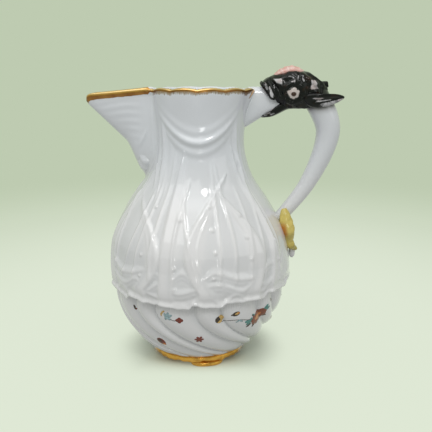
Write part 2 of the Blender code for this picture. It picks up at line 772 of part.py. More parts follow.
def main():
    for old in list(bpy.data.objects):
        bpy.data.objects.remove(old)
    axis = empty("body_axis", (AXIS_X, 0, 0))
    seat = empty("head_seat", (HEAD_X, 0, HEAD_Z), axis)

    body = body_guide(axis)
    channel_tip = SPOUT_REACH - SPOUT_LIP
    channel = cutter("channel_guide", spout_solid(SPOUT_WALL, SPOUT_ROOT, channel_tip, WALL), axis)
    spout = cutter("spout_guide", spout_solid(-CLEARANCE, SPOUT_ROOT, SPOUT_REACH, CLEARANCE), axis)
    head = cutter("head_guide", head_solid(CLEARANCE), seat)
    bridge = cutter("bridge_guide", bridge_solid(CLEARANCE), axis)
    stem = cutter("stem_guide", stem_solid(CLEARANCE), axis)

    make_upper_body(axis, channel)
    make_fluted_bowl(axis)
    make_foot_ring(axis)
    for k, name in enumerate(("front", "right", "back", "left")):
        make_foot_pad(axis, f"foot_pad_{name}", PAD_TURN + k * math.pi / 2)
    make_spout(axis, body, channel)
    make_spout_boss(axis, body, spout)
    cut(finish("handle_bridge", bridge_solid(0.0), porcelain(), axis), body, head)
    finish("beast_head", head_solid(0.0), black_enamel(), seat)
    make_jaw(seat, head, bridge)
    make_crest(seat, head)
    make_nape_fin(seat, head)
    for name, side in (("front", -1), ("back", 1)):
        make_eye(seat, head, f"eye_{name}", side)
        make_gill_fin(seat, head, stem, f"gill_fin_{name}", side)
    make_stem(axis, body, head)
    make_tail(axis, body, stem)


if __name__ == "__main__":
    main()
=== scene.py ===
"""Porcelain milk jug: the glazed, gilt and painted surfaces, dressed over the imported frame.

Metres, +Z up, in the frame's own place. The spout points to -X and the handle to +X. Round the body, a
turn of 0 is the handle, half a turn is the spout, and a quarter turn back is the front.
"""

import math

import bmesh
import bpy
import numpy as np
from bpy.props import FloatProperty, FloatVectorProperty, IntProperty, PointerProperty
from mathutils import Euler, Matrix, Vector
from mathutils.geometry import interpolate_bezier


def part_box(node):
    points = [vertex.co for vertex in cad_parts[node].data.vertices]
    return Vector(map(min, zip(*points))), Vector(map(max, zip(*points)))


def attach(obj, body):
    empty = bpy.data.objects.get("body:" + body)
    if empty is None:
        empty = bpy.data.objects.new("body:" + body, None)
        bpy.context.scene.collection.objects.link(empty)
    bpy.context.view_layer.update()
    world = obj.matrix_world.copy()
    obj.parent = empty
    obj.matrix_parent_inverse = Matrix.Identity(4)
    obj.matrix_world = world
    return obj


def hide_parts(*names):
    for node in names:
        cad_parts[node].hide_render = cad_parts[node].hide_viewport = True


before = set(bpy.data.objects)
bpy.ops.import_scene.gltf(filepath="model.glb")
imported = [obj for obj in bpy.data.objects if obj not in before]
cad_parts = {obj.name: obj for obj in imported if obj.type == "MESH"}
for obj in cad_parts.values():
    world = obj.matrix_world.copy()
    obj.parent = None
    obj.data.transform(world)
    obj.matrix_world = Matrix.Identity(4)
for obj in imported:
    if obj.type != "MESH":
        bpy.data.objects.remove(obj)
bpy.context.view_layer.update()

bl_info = {
    "name": "Porcelain Milk Jug",
    "version": (1, 0, 0),
    "blender": (4, 5, 0),
    "location": "3D View > Sidebar > Jug",
    "description": "Glazes, gilds and paints a milk jug with a sea beast for a handle",
    "category": "Object",
}

MM = 0.001
BODY = "root"
SIDES = (("front", -1), ("back", 1))
SIDEWAYS = Vector((0, 1, 0))

BOWL_LOW, BOWL_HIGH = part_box("fluted_bowl")
AXIS_X = (BOWL_LOW.x + BOWL_HIGH.x) / 2
RIM_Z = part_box("upper_body")[1].z
SPOUT_REACH = AXIS_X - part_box("spout")[0].x


def length(name, description, default):
    return FloatProperty(name=name, description=description, default=default, unit="LENGTH", precision=5)


def colour(name, description, default):
    return FloatVectorProperty(
        name=name, description=description, default=default, subtype="COLOR", size=3, min=0.0, max=1.0
    )


class JugSizes(bpy.types.PropertyGroup):
    """Sizes that shape the dressed surfaces."""

    wall: length("Wall", "Thickness of the body's wall", 3.2 * MM)
    skirt_lip: length("Skirt lip", "Thickness of the skirt's edge", 1.9 * MM)
    lip_rise: length("Lip rise", "Height of the rim's rounding", 1.0 * MM)
    rim_lobe: length("Rim lobe", "Depth of the dips between the rim's lobes", 0.8 * MM)
    leaf: length("Leaf relief", "Height of the long leaves on the body", 1.9 * MM)
    foam: length("Foam relief", "Height of the waves over the skirt", 1.05 * MM)
    swag: length("Swag relief", "Height of the drapery round the neck", 1.6 * MM)
    stalk: length("Stalk relief", "Height of the thin stalks between the leaves", 0.65 * MM)
    pearl: length("Pearl relief", "Height of the pearls strewn over the belly", 0.6 * MM)
    flute: length("Flute", "Depth of the bowl's spiral flutes", 2.9 * MM)
    spout_roll: length("Spout roll", "Swell of the spout's rolled lip", 1.1 * MM)
    enamel: length("Enamel", "Thickness of the painted flowers", 0.12 * MM)
    gilt_rim: length("Gilt rim", "Width of the gilding on the rim", 1.8 * MM)
    gilt_spout: length("Gilt spout", "Width of the gilding on the spout's lip", 3.8 * MM)
    columns: IntProperty(name="Columns", description="Faces round the body", default=556, min=60)
    rows: IntProperty(name="Rows", description="Faces up the body's outer wall", default=160, min=20)


class JugColours(bpy.types.PropertyGroup):
    """Colours of the glaze, the gilding, the enamels and the stage."""

    white: colour("White glaze", "Porcelain under clear glaze", (0.80, 0.80, 0.795))
    # Painted shade: the white is made darker and bluer up the neck and spout
    neck_shade: colour("Cool glaze", "Bluer glaze up the neck and spout", (0.755, 0.785, 0.812))
    # Painted shade: the grey laid in the hollows between the relief and in the flutes' creases; it also
    # greys random clouds, and partly the whole stem
    grey_and_shade: colour("Pooled glaze", "Glaze where it pools in the hollows", (0.66, 0.68, 0.69))
    gilt: colour("Gilt", "Burnished gilding", (0.70, 0.37, 0.08))
    gilt_worn_and_shade: colour("Worn gilt", "Gilding where it is thin or in shade", (0.24, 0.09, 0.018))
    # Painted highlight: the light line near the top of the gilt rim and the spout's lip
    gilt_highlight: colour("Light gilt", "Gilding along a rubbed edge", (0.92, 0.66, 0.34))
    black: colour("Black", "Black enamel of the beast", (0.004, 0.004, 0.005))
    # Painted reflection and highlight: this pale also lays the wedge behind the eye and the lines along the
    # gill fins
    pale: colour("Pale strokes", "Grey-white strokes on the black", (0.52, 0.52, 0.52))
    flesh: colour("Flesh strokes", "Pinkish strokes on the black", (0.46, 0.34, 0.30))
    brown: colour("Brown", "Where the black thins out", (0.06, 0.022, 0.010))
    eye: colour("Eye", "White of the eye", (0.58, 0.53, 0.49))
    pupil: colour("Pupil", "Heart of the eye", (0.040, 0.011, 0.005))
    pink: colour("Pink", "Crest enamel", (0.68, 0.35, 0.29))
    # Painted highlight: the paler pink on the tops of the crest's ruffles and along its upper side; it also
    # mottles the crest at random
    blush: colour("Blush", "Pale streaks of the crest", (0.78, 0.60, 0.54))
    yellow: colour("Yellow", "Tail enamel", (0.70, 0.57, 0.16))
    olive: colour("Olive", "Shaded tail enamel", (0.30, 0.25, 0.04))
    rust: colour("Rust", "Orange-brown wash on the tail", (0.50, 0.20, 0.03))
    lilac: colour("Lilac", "Tail's drop", (0.62, 0.60, 0.62))
    red: colour("Red", "Painted flowers", (0.23, 0.036, 0.022))
    brick: colour("Brick", "Petals of the large flower", (0.28, 0.06, 0.024))
    orange: colour("Orange", "Hearts of the painted flowers", (0.72, 0.24, 0.05))
    ochre: colour("Ochre", "Painted buds", (0.72, 0.48, 0.16))
    teal: colour("Teal", "Painted leaves", (0.09, 0.30, 0.27))
    sky: colour("Sky", "Pale blue painted leaves", (0.36, 0.52, 0.54))
    umber: colour("Umber", "Painted stems and outlines", (0.05, 0.032, 0.024))
    backdrop: colour("Backdrop", "Sage ground behind the jug", (0.560, 0.649, 0.478))
    floor: colour("Floor", "Pale ground under the jug", (0.801, 0.877, 0.723))


def sizes():
    return bpy.context.scene.jug_sizes


def colours():
    return bpy.context.scene.jug_colours


# Smooth curves and blends, on whole arrays at once


def smooth_curve(places, values):
    """A function that runs smoothly through the values given at rising places."""
    places = np.array(places, float)
    values = np.array(values, float)
    last = len(places) - 1
    low = np.clip(np.arange(last + 1) - 1, 0, last)
    high = np.clip(np.arange(last + 1) + 1, 0, last)
    slopes = (values[high] - values[low]) / (places[high] - places[low])

    def value_at(place):
        place = np.clip(place, places[0], places[-1])
        i = np.clip(np.searchsorted(places, place, side="right") - 1, 0, last - 1)
        span = places[i + 1] - places[i]
        t = (place - places[i]) / span
        ease = t * t * (3 - 2 * t)
        bend = slopes[i] * t * (1 - t) ** 2 - slopes[i + 1] * t * t * (1 - t)
        return values[i] * (1 - ease) + values[i + 1] * ease + bend * span

    return value_at


def tapered(*values):
    """Half sizes, in mm, at even shares of the way along a form."""
    least = 0.05
    curve = smooth_curve(np.linspace(0, 1, len(values)), values)
    return lambda share: max(float(curve(share)), least) * MM


def step(low, high, value):
    """Ease from 0 at low to 1 at high."""
    t = np.clip((value - low) / (high - low), 0.0, 1.0)
    return t * t * (3 - 2 * t)


def bell(value, half_width):
    return np.exp(-((value / half_width) ** 2))


def smooth_max(a, b, blend):
    h = np.clip(0.5 + 0.5 * (a - b) / blend, 0.0, 1.0)
    return b + (a - b) * h + blend * h * (1 - h)


def smooth_path(points, steps):
    """Points along a smooth curve that passes through each given point."""
    points = [Vector(point) for point in points]
    path = []
    last = len(points) - 1
    for i in range(last):
        before = points[max(i - 1, 0)]
        after = points[min(i + 2, last)]
        leave = points[i] + (points[i + 1] - before) / 6
        arrive = points[i + 1] - (after - points[i]) / 6
        path += interpolate_bezier(points[i], leave, arrive, points[i + 1], steps + 1)[:-1]
    return path + [points[-1]]


def along_stroke(x, y, points):
    """Distance in mm to a smooth stroke through flat points, and the share of the way along it."""
    steps = 7
    path = np.array([(p.x, p.y) for p in smooth_path([(u, v, 0) for u, v in points], steps)])
    segments = len(path) - 1
    best = np.full(x.shape, np.inf)
    share = np.zeros(x.shape)
    for i in range(segments):
        ax = x - path[i][0]
        ay = y - path[i][1]
        bx = path[i + 1][0] - path[i][0]
        by = path[i + 1][1] - path[i][1]
        t = np.clip((ax * bx + ay * by) / (bx * bx + by * by), 0.0, 1.0)
        distance = np.hypot(ax - t * bx, ay - t * by)
        closer = distance < best
        best = np.where(closer, distance, best)
        share = np.where(closer, (i + t) / segments, share)
    return best, share


# Turned body; the turns of the skirt's tips are in degrees

SKIRT_Z = 44.0 * MM
SKIRT_TIPS = (-165, -140, -95, -76, -47, -22, 8, 40, 66, 92, 120, 152, 195)
SKIRT_HANG = 0.7 * MM
SKIRT_STEP = 2.3 * MM
SKIRT_RISE_BY_HANDLE = 2.6 * MM
SKIRT_RISE_BY_SPOUT = 2.2 * MM
SKIRT_DRAWN_IN = 0.9 * MM
SKIRT_FLARE = 0.75 * MM
SKIRT_WAIST = 0.3 * MM
LAP_Z = 50.0 * MM
CLEARANCE = 0.3 * MM
NECK_RADIUS = 24.4 * MM
SPOUT_TIP_HALF_WIDTH = 1.9 * MM
SPOUT_TIP_DEPTH = 5.6 * MM
SPOUT_TIP_TUCK = 3.0 * MM
SPOUT_FLARE = 9.6 * MM
SPOUT_KEEL = 37.2 * MM
SPOUT_SWELL = 1.7 * MM
SPOUT_LIFT = 0.3 * MM
SPOUT_DIP = 2.0 * MM
SPOUT_DROOP = 2.4 * MM
SPOUT_WALL = 2.4 * MM
SPOUT_LIP_MIDDLE = 1.7 * MM
SPOUT_LIP_HALF = 1.9 * MM
SPOUT_START = 12 * MM
SPOUT_HALF_ANGLE = 1.2
SPOUT_BLEND = 3.6 * MM
SPOUT_RIDGE_PITCH = 4.2 * MM
SPOUT_RIDGE_RELIEF = 0.10 * MM
SPOUT_LEAF_START = 28 * MM
SPOUT_LEAF_DEPTH = 24 * MM
SPOUT_LEAF_SLOPE = 1.65
SPOUT_LEAF_RELIEF = 0.5 * MM
CHIN_DROP = 8.7 * MM
CHIN_START = 39.9 * MM
CHIN_FULL = 31.0 * MM
FAR_LIP_DROP = 2.0 * MM
RIM_LOBES = 12
RIM_LOBE_SWELL = 0.35 * MM
RIM_FRONT_RISE = 2.6 * MM
RIM_BACK_DROP = 0.7 * MM
RIM_SPREAD = 2.4 * MM
body_radius = smooth_curve(
    (SKIRT_Z, 55 * MM, 73 * MM, 88 * MM, 104 * MM, 122 * MM, 150 * MM),
    (50.0 * MM, 50.6 * MM, 46.8 * MM, 38.8 * MM, 28.7 * MM, NECK_RADIUS, 27.6 * MM),
)


def skirt_edge(turn):
    """Height of the skirt's ragged edge: it falls gently to each tip, steps up and falls again."""
    angle = np.degrees(turn)
    tips = np.array(SKIRT_TIPS, float)
    i = np.clip(np.searchsorted(tips, angle, side="right") - 1, 0, len(tips) - 2)
    share = (angle - tips[i]) / (tips[i + 1] - tips[i])
    fall = (1 - share) ** 0.8 * step(0.0, 0.09, share)
    by_handle = 0.5 + 0.5 * np.cos(turn)
    climb = SKIRT_RISE_BY_HANDLE * by_handle ** 2 + SKIRT_RISE_BY_SPOUT * (1 - by_handle) ** 30
    ripple = 0.16 * MM * np.sin(47 * turn) + 0.2 * MM * np.sin(19 * turn + 1.0)
    return SKIRT_Z - SKIRT_HANG + SKIRT_STEP * fall + climb + ripple


def rounded_off(share, start):
    """A quarter circle that falls from 1 at a start to 0 at the end of a form."""
    return np.sqrt(np.clip(1 - (np.clip(share - start, 0, 1) / (1 - start)) ** 2, 0.0, 1.0))


def spout_sections(x):
    """Half width, depth and top height of the spout at a distance from the body's axis."""
    share = np.clip((x - NECK_RADIUS) / (SPOUT_REACH - NECK_RADIUS), 0.0, 1.0)
    droop = 1 - rounded_off(share, 0.90)
    half_width = (SPOUT_TIP_HALF_WIDTH + SPOUT_FLARE * (1 - share) ** 0.9) * rounded_off(share, 0.94)
    swell = SPOUT_SWELL * (1 - share) ** 1.2
    depth = SPOUT_TIP_DEPTH + SPOUT_KEEL * (1 - share) - SPOUT_TIP_TUCK * droop + swell
    depth = depth + CHIN_DROP * step(CHIN_START, CHIN_FULL, x)
    top = RIM_Z + SPOUT_LIFT + swell - SPOUT_DIP * share ** 1.3 - SPOUT_DROOP * droop
    return half_width, depth, top


def beak_width(x, below, half_width, depth, roll):
    """Half width of the spout's section at a depth below its top edge."""
    q = np.clip(below / depth, 0.0, 1.0)
    keel = np.sqrt(np.clip(1 - q ** 2.2, 0.0, 1.0))
    lip = roll * np.sqrt(np.clip(1 - ((below - SPOUT_LIP_MIDDLE) / SPOUT_LIP_HALF) ** 2, 0.0, 1.0))
    wavy = below + 0.7 * MM * np.sin(x / (5 * MM))
    ridges = SPOUT_RIDGE_RELIEF * np.sin(math.tau * wavy / SPOUT_RIDGE_PITCH)
    ridges = ridges * step(28 * MM, 36 * MM, x) * step(4 * MM, 7 * MM, below) * step(0.9, 0.5, q)
    off_leaf = 0.52 * (below - SPOUT_LEAF_DEPTH - SPOUT_LEAF_SLOPE * (x - SPOUT_LEAF_START))
    leaf = SPOUT_LEAF_RELIEF * bell(off_leaf, 0.9 * MM)
    leaf = leaf * step(26.5 * MM, 29 * MM, x) * step(33 * MM, 31 * MM, x)
    return half_width * keel + lip + (ridges + leaf) * (roll > 0)


def beak_radius(turn, height, inset):
    """Distance from the axis to the spout's skin, drawn in by inset; 0 where the spout isn't."""
    phi = math.pi - np.abs(turn)
    near = np.full(turn.shape, SPOUT_START)
    far = np.full(turn.shape, SPOUT_REACH)
    roll = 0.0 if inset else sizes().spout_roll

    def inside(distance):
        x = distance * np.cos(phi)
        half_width, depth, top = spout_sections(x)
        below = np.clip(top - height, 0.0, None)
        width = beak_width(x, below, half_width - inset, depth - inset, roll)
        within = distance * np.sin(phi) <= width
        return within & (below < depth - inset) & (half_width > inset) & (phi < SPOUT_HALF_ANGLE)

    there = inside(near)
    halvings = 20
    for _ in range(halvings):
        middle = (near + far) / 2
        hit = inside(middle)
        near = np.where(hit, middle, near)
        far = np.where(hit, far, middle)
    return np.where(there, near, 0.0)


def rim_top(turn):
    """Height of the rim's edge: twelve lobes, highest in front, which give way to the spout's long dip."""
    front = np.clip(-np.sin(turn), 0.0, 1.0)
    behind = np.clip(np.sin(turn), 0.0, 1.0)
    lobe = -sizes().rim_lobe * (1 - np.abs(np.sin(RIM_LOBES / 2 * turn))) * (1 - 0.6 * behind)
    lobe = lobe + RIM_FRONT_RISE * front ** 0.7 - RIM_BACK_DROP * behind ** 1.5
    radius = beak_radius(turn, np.full(turn.shape, RIM_Z - 2 * MM), 0.0)
    x = radius * np.cos(math.pi - np.abs(turn))
    _, _, top = spout_sections(x)
    beak = step(24.2 * MM, 26.6 * MM, x)
    far_lip = FAR_LIP_DROP * step(math.radians(180), math.radians(172), turn) * step(0.0, 0.1, turn)
    return (RIM_Z + lobe) * (1 - beak) + (top - far_lip) * beak - sizes().lip_rise


# Moulded relief, alike on both sides; the leaves, foam and drapery are those of the solids

LEAVES = 7
LEAF_START = math.radians(34)
LEAF_PITCH = math.radians(24)
LEAF_LEAN = math.radians(15)
LEAF_LOW = SKIRT_Z + 8 * MM
LEAF_LENGTH = 58 * MM
LEAF_UNEVEN = 13 * MM
LEAF_HALF_WIDTH = 8.5 * MM
FOAM_ROWS = 3
FOAM_PITCH = math.radians(26)
FOAM_DRIFT = math.radians(6)
FOAM_LOW = SKIRT_Z + 2 * MM
FOAM_STEP = 6 * MM
FOAM_RISE = 4.5 * MM
FOAM_TOP = SKIRT_Z + 18 * MM
FOAM_BLEND = 8 * MM
FOAM_SINK = 0.8 * MM
SWAG_START = math.radians(36)
SWAG_SPAN = math.radians(108)
SWAG_TOP = RIM_Z - 11 * MM
SWAG_DROP = 15 * MM
SWAG_HALF_WIDTH = 6 * MM
# Where each fall of drapery hangs, and how far down
CASCADES = ((math.radians(40), 26 * MM), (math.radians(136), 34 * MM))
STALKS = 11
STALK_START = math.radians(30)
STALK_PITCH = math.radians(12.5)
STALK_LEAN = math.radians(9)
STALK_LOW = SKIRT_Z + 10 * MM
STALK_LENGTH = 58 * MM
STALK_UNEVEN = 10 * MM
STALK_HALF_WIDTH = 0.85 * MM
PEARLS = 17
PEARL_RADIUS = 1.0 * MM
PEARL_START = math.radians(32)
PEARL_SPAN = math.radians(118)
PEARL_STRIDE = math.radians(47.3)
PEARL_LOW = SKIRT_Z + 9 * MM
PEARL_RANGE = 44 * MM
PEARL_CLIMB = 19.7 * MM
TAIL_CLEAR = math.radians(18)
TAIL_BLEND = math.radians(10)


def leaf_relief(side, height):
    """Long leaves that stand up from the foam, each with a crisp edge on one side and a faint midrib."""
    raised = np.zeros(side.shape)
    for k in range(LEAVES):
        long = LEAF_LENGTH + LEAF_UNEVEN * math.cos(2.3 * k)
        share = np.clip((height - LEAF_LOW) / long, 0.0, 0.999)
        lean = LEAF_LEAN * math.sin(1.9 * k + 0.6)
        sway = lean * (1.7 * share ** 2 - 0.9 * np.sin(math.pi * share))
        half_width = LEAF_HALF_WIDTH * (1 - share ** 2) ** 0.8
        across = (side - LEAF_START - LEAF_PITCH * k - sway) * body_radius(height) / half_width
        across = np.clip(-across if k % 3 == 1 else across, -1.0, 1.0)
        slope = np.clip((1 + across) / 1.75, 0.0, 1.0) ** 1.5
        rib = 0.16 * bell(across + 0.05, 0.11) * (share < 0.95)
        shape = (1 - 0.45 * share) * (slope + rib) * step(1.0, 0.6, across) * (share < 0.999)
        raised = np.maximum(raised, shape)
    return raised


def foam_relief(side, height):
    """Rows of soft waves over the skirt, steep above their crests and rippled below."""
    raised = np.zeros(side.shape)
    for row in range(FOAM_ROWS):
        drift = FOAM_DRIFT * np.sin(5 * side + 2 * row)
        place = (side + drift) / FOAM_PITCH + row / FOAM_ROWS
        above = (height - FOAM_LOW - FOAM_STEP * row - FOAM_RISE * np.sin(math.pi * place) ** 2) / MM
        ripple = 1 + 0.14 * np.sin(2.4 * above + 1.2) * step(0.0, -1.5, above)
        fall = np.exp(np.minimum(above, 0) / 4.5) * ripple
        raised = np.maximum(raised, np.where(above < 0, fall, bell(above, 2.2)))
    return raised


def stalk_relief(side, height):
    """Thin stalks that run up between the leaves and onto the neck."""
    raised = np.zeros(side.shape)
    for k in range(STALKS):
        long = STALK_LENGTH + STALK_UNEVEN * math.cos(1.7 * k + 0.4)
        share = np.clip((height - STALK_LOW) / long, 0.0, 1.0)
        sway = STALK_LEAN * math.sin(2.6 * k + 1.0) * share ** 1.5 + 0.05 * np.sin(3.4 * share + k)
        across = (side - STALK_START - STALK_PITCH * k - sway) * body_radius(height)
        shape = bell(across, STALK_HALF_WIDTH) * step(1.0, 0.85, share) * step(0.0, 0.1, share)
        raised = np.maximum(raised, shape)
    return raised


def pearl_relief(side, height):
    """Small pearls, strewn unevenly over the foam and between the leaves."""
    raised = np.zeros(side.shape)
    for k in range(PEARLS):
        place = PEARL_START + (PEARL_STRIDE * k) % PEARL_SPAN
        level = PEARL_LOW + (PEARL_CLIMB * k) % PEARL_RANGE
        distance = np.hypot((side - place) * body_radius(height), height - level)
        raised = np.maximum(raised, np.sqrt(np.clip(1 - (distance / PEARL_RADIUS) ** 2, 0.0, 1.0)))
    return raised


def swag_relief(side, height):
    """A broad festoon of drapery round each side of the neck, with soft folds along it."""
    fade = np.sin(math.pi * np.clip((side - SWAG_START) / SWAG_SPAN, 0.0, 1.0))
    q = (height - SWAG_TOP + SWAG_DROP * fade) / SWAG_HALF_WIDTH
    return fade * bell(q, 1.0) * (1 + 0.36 * np.sin(6.2 * q + 0.8))


def cascade_relief(side, height):
    """Drapery that hangs in upright folds from each end of the festoon."""
    raised = np.zeros(side.shape)
    for place, drop in CASCADES:
        across = (side - place) * body_radius(height) / MM
        below = (SWAG_TOP - SWAG_HALF_WIDTH - height) / drop
        hem = 1.0 - 0.12 * np.cos(1.2 * across) - 0.03 * across
        folds = 0.66 + 0.34 * np.cos(1.2 * across + 1.4 * below)
        spread = bell(across, 3.4 + 2.0 * np.clip(below, 0.0, 1.2))
        raised = np.maximum(raised, folds * spread * step(-0.2, 0.3, below) * step(hem, hem - 0.2, below))
    return raised


def relief(turn, height):
    """Height of the moulded relief over the turned body."""
    side = np.abs(turn)
    growth = np.maximum(sizes().leaf * leaf_relief(side, height), sizes().foam * foam_relief(side, height))
    growth = growth - FOAM_SINK * np.clip(1 - (height - FOAM_TOP) / FOAM_BLEND, 0.0, 1.0)
    growth = growth + sizes().stalk * stalk_relief(side, height)
    growth = growth + sizes().pearl * pearl_relief(side, height)
    growth = growth * np.clip((side - TAIL_CLEAR) / TAIL_BLEND, 0.0, 1.0)
    near_spout = step(math.radians(150), math.radians(166), side) * step(96 * MM, 104 * MM, height)
    drapery = np.maximum(swag_relief(side, height), 0.9 * cascade_relief(side, height))
    return growth * (1 - near_spout) + sizes().swag * drapery


def outer_radius(turn, height, lift):
    """The outer skin: the turned form under its relief, a lobed rim, a flared skirt and the spout."""
    lobes = RIM_LOBE_SWELL * (np.abs(np.sin(RIM_LOBES / 2 * turn)) - 0.6)
    lobes = lobes * step(RIM_Z - 9 * MM, RIM_Z, height)
    above_edge = height - skirt_edge(turn)
    flare = SKIRT_FLARE * bell(above_edge - 0.4 * MM, 1.1 * MM)
    flare = flare - SKIRT_WAIST * bell(above_edge - 3.0 * MM, 1.3 * MM)
    spread = RIM_SPREAD * bell(turn, 0.5) * step(RIM_Z - 13 * MM, RIM_Z, height)
    drawn_in = SKIRT_DRAWN_IN * bell(math.pi - np.abs(turn), 0.5) * step(62 * MM, 52 * MM, height)
    plain = body_radius(height) + lift + lobes + flare + spread - drawn_in
    radius = smooth_max(plain, beak_radius(turn, height, 0.0), SPOUT_BLEND)
    behind_spout = bell(-radius * np.cos(turn) - 24.6 * MM, 1.8 * MM)
    return radius - 0.6 * MM * behind_spout * step(RIM_Z - 14 * MM, RIM_Z - 5 * MM, height)


def inner_radius(turn, height):
    """The inner skin, thinner where the skirt laps over the bowl."""
    thickness = sizes().skirt_lip + (sizes().wall - sizes().skirt_lip) * step(LAP_Z, LAP_Z + 1 * MM, height)
    return smooth_max(body_radius(height) - thickness, beak_radius(turn, height, SPOUT_WALL), 2 * MM)


# Meshes


def mesh_from(bm, name):
    mesh = bpy.data.meshes.new(name)
    bm.to_mesh(mesh)
    bm.free()
    mesh.shade_smooth()
    return mesh


def squared(value, squareness):
    """A cosine or sine, bent so that the circle it draws comes out squarer."""
    return math.copysign(abs(value) ** squareness, value)


def round_axis(middle, turn, radius, height):
    """Places, from turns about an upright axis, distances from it and heights."""
    return np.stack((middle + radius * np.cos(turn), radius * np.sin(turn), height), axis=1)


def ball(segments, rings, matrix=Matrix()):
    """A sphere of radius 1, turned and scaled by a matrix, for a piece to be shaped from."""
    bm = bmesh.new()
    bmesh.ops.create_uvsphere(bm, u_segments=segments, v_segments=rings, radius=1.0, matrix=matrix)
    return bm


def turned(name, outline, steps, closed=False):
    """Wrap a grid once round the axis: its rows follow an outline of (distance, height) pairs."""
    outline = outline + outline[:1] if closed else outline
    rows = len(outline) - 1
    bm = bmesh.new()
    bmesh.ops.create_grid(bm, x_segments=steps, y_segments=rows, size=1.0)
    for vert in bm.verts:
        distance, height = outline[round((vert.co.y + 1) / 2 * rows)]
        turn = math.pi * vert.co.x
        vert.co = (distance * math.cos(turn), distance * math.sin(turn), height)
    bmesh.ops.remove_doubles(bm, verts=bm.verts, dist=1e-6)
    bmesh.ops.recalc_face_normals(bm, faces=bm.faces)
    return mesh_from(bm, name)


def join(bm, part):
    """Add a finished part to a larger bmesh."""
    mesh = bpy.data.meshes.new("part")
    part.to_mesh(mesh)
    part.free()
    bm.from_mesh(mesh)
    bpy.data.meshes.remove(mesh)


def station_matrix(path, i, across, wide, tall):
    """The section's own frame at one station of a path, scaled to its half sizes."""
    last = len(path) - 1
    heading = (path[min(i + 1, last)] - path[max(i - 1, 0)]).normalized()
    side = (across - heading * across.dot(heading)).normalized()
    lift = heading.cross(side)
    matrix = Matrix((side * wide, lift * tall, heading)).transposed().to_4x4()
    matrix.translation = path[i]
    return matrix


def swept(name, path, across, wide, tall, sides=24, squareness=1.0):
    """Carry a round section along a path, from station to station; half sizes go by the share of the way.

    Each vertex keeps how far along it is, and its turn about the path.
    """
    bm = bmesh.new()
    along = bm.verts.layers.float.new("along")
    around = bm.verts.layers.float.new("around")
    last = len(path) - 1
    matrices = [station_matrix(path, i, across, wide(i / last), tall(i / last)) for i in range(last + 1)]
    for vert in bmesh.ops.create_circle(bm, cap_ends=False, segments=sides, radius=1.0)["verts"]:
        x, y, _ = vert.co
        vert[around] = math.atan2(y, x)
        vert.co = matrices[0] @ Vector((squared(x, squareness), squared(y, squareness), 0))
    edges = list(bm.edges)
    caps = bmesh.ops.edgeloop_fill(bm, edges=edges)["faces"]
    for i in range(last):
        made = bmesh.ops.extrude_edge_only(bm, edges=edges)["geom"]
        edges = [item for item in made if isinstance(item, bmesh.types.BMEdge)]
        edges = [edge for edge in edges if len(edge.link_faces) == 1]
        moved = [item for item in made if isinstance(item, bmesh.types.BMVert)]
        bmesh.ops.transform(bm, matrix=matrices[i + 1] @ matrices[i].inverted(), verts=moved)
        for vert in moved:
            vert[along] = (i + 1) / last
    caps += bmesh.ops.edgeloop_fill(bm, edges=edges)["faces"]
    bmesh.ops.poke(bm, faces=caps)
    bmesh.ops.recalc_face_normals(bm, faces=bm.faces)
    return mesh_from(bm, name)


def rounded(size, fullness=2.2, least=0.06):
    """Half size along a form that is blunt at both ends."""

    def half(share):
        return size * max((1 - abs(2 * share - 1) ** fullness) ** (1 / fullness), least)

    return half


def read_all(items, name, width):
    """A row of numbers for each item of a mesh."""
    values = np.empty(len(items) * width, np.float32)
    items.foreach_get(name, values)
    return values.reshape(-1, width).astype(float)


def points_of(mesh):
    return read_all(mesh.vertices, "co", 3)


def normals_of(mesh):
    return read_all(mesh.vertex_normals, "vector", 3)


def kept(mesh, name):
    """The numbers that a mesh keeps for its vertices under a name."""
    return read_all(mesh.attributes[name].data, "value", 1)[:, 0]


def move_points(mesh, co):
    mesh.vertices.foreach_set("co", co.astype(np.float32).ravel())
    mesh.update()


def raise_points(mesh, amounts):
    """Push each vertex out along its normal."""
    move_points(mesh, points_of(mesh) + normals_of(mesh) * amounts[:, None])


def paint(mesh, name, values):
    """Keep a number for each vertex, for the material to read."""
    layer = mesh.attributes.new(name, "FLOAT", "POINT")
    layer.data.foreach_set("value", values.astype(np.float32))


def keep_in_wall(mesh):
    """Draw a handle's end back to the middle of the body's wall, so that none shows inside the jug."""
    co = points_of(mesh)
    x = co[:, 0] - AXIS_X
    radius = np.hypot(x, co[:, 1])
    least = body_radius(co[:, 2]) - sizes().wall / 2
    stretch = np.maximum(radius, least) / np.maximum(radius, 1e-6)
    co[:, 0] = AXIS_X + x * stretch
    co[:, 1] *= stretch
    move_points(mesh, co)


def add_piece(name, mesh, materials, slot, *nodes):
    """Show a finished mesh as a piece of the jug, in place of its solids."""
    for material in materials:
        mesh.materials.append(material)
    piece = bpy.data.objects.new(name, mesh)
    bpy.context.scene.collection.objects.link(piece)
    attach(piece, BODY)
    if nodes:
        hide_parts(*nodes)
    return piece


# Finishes


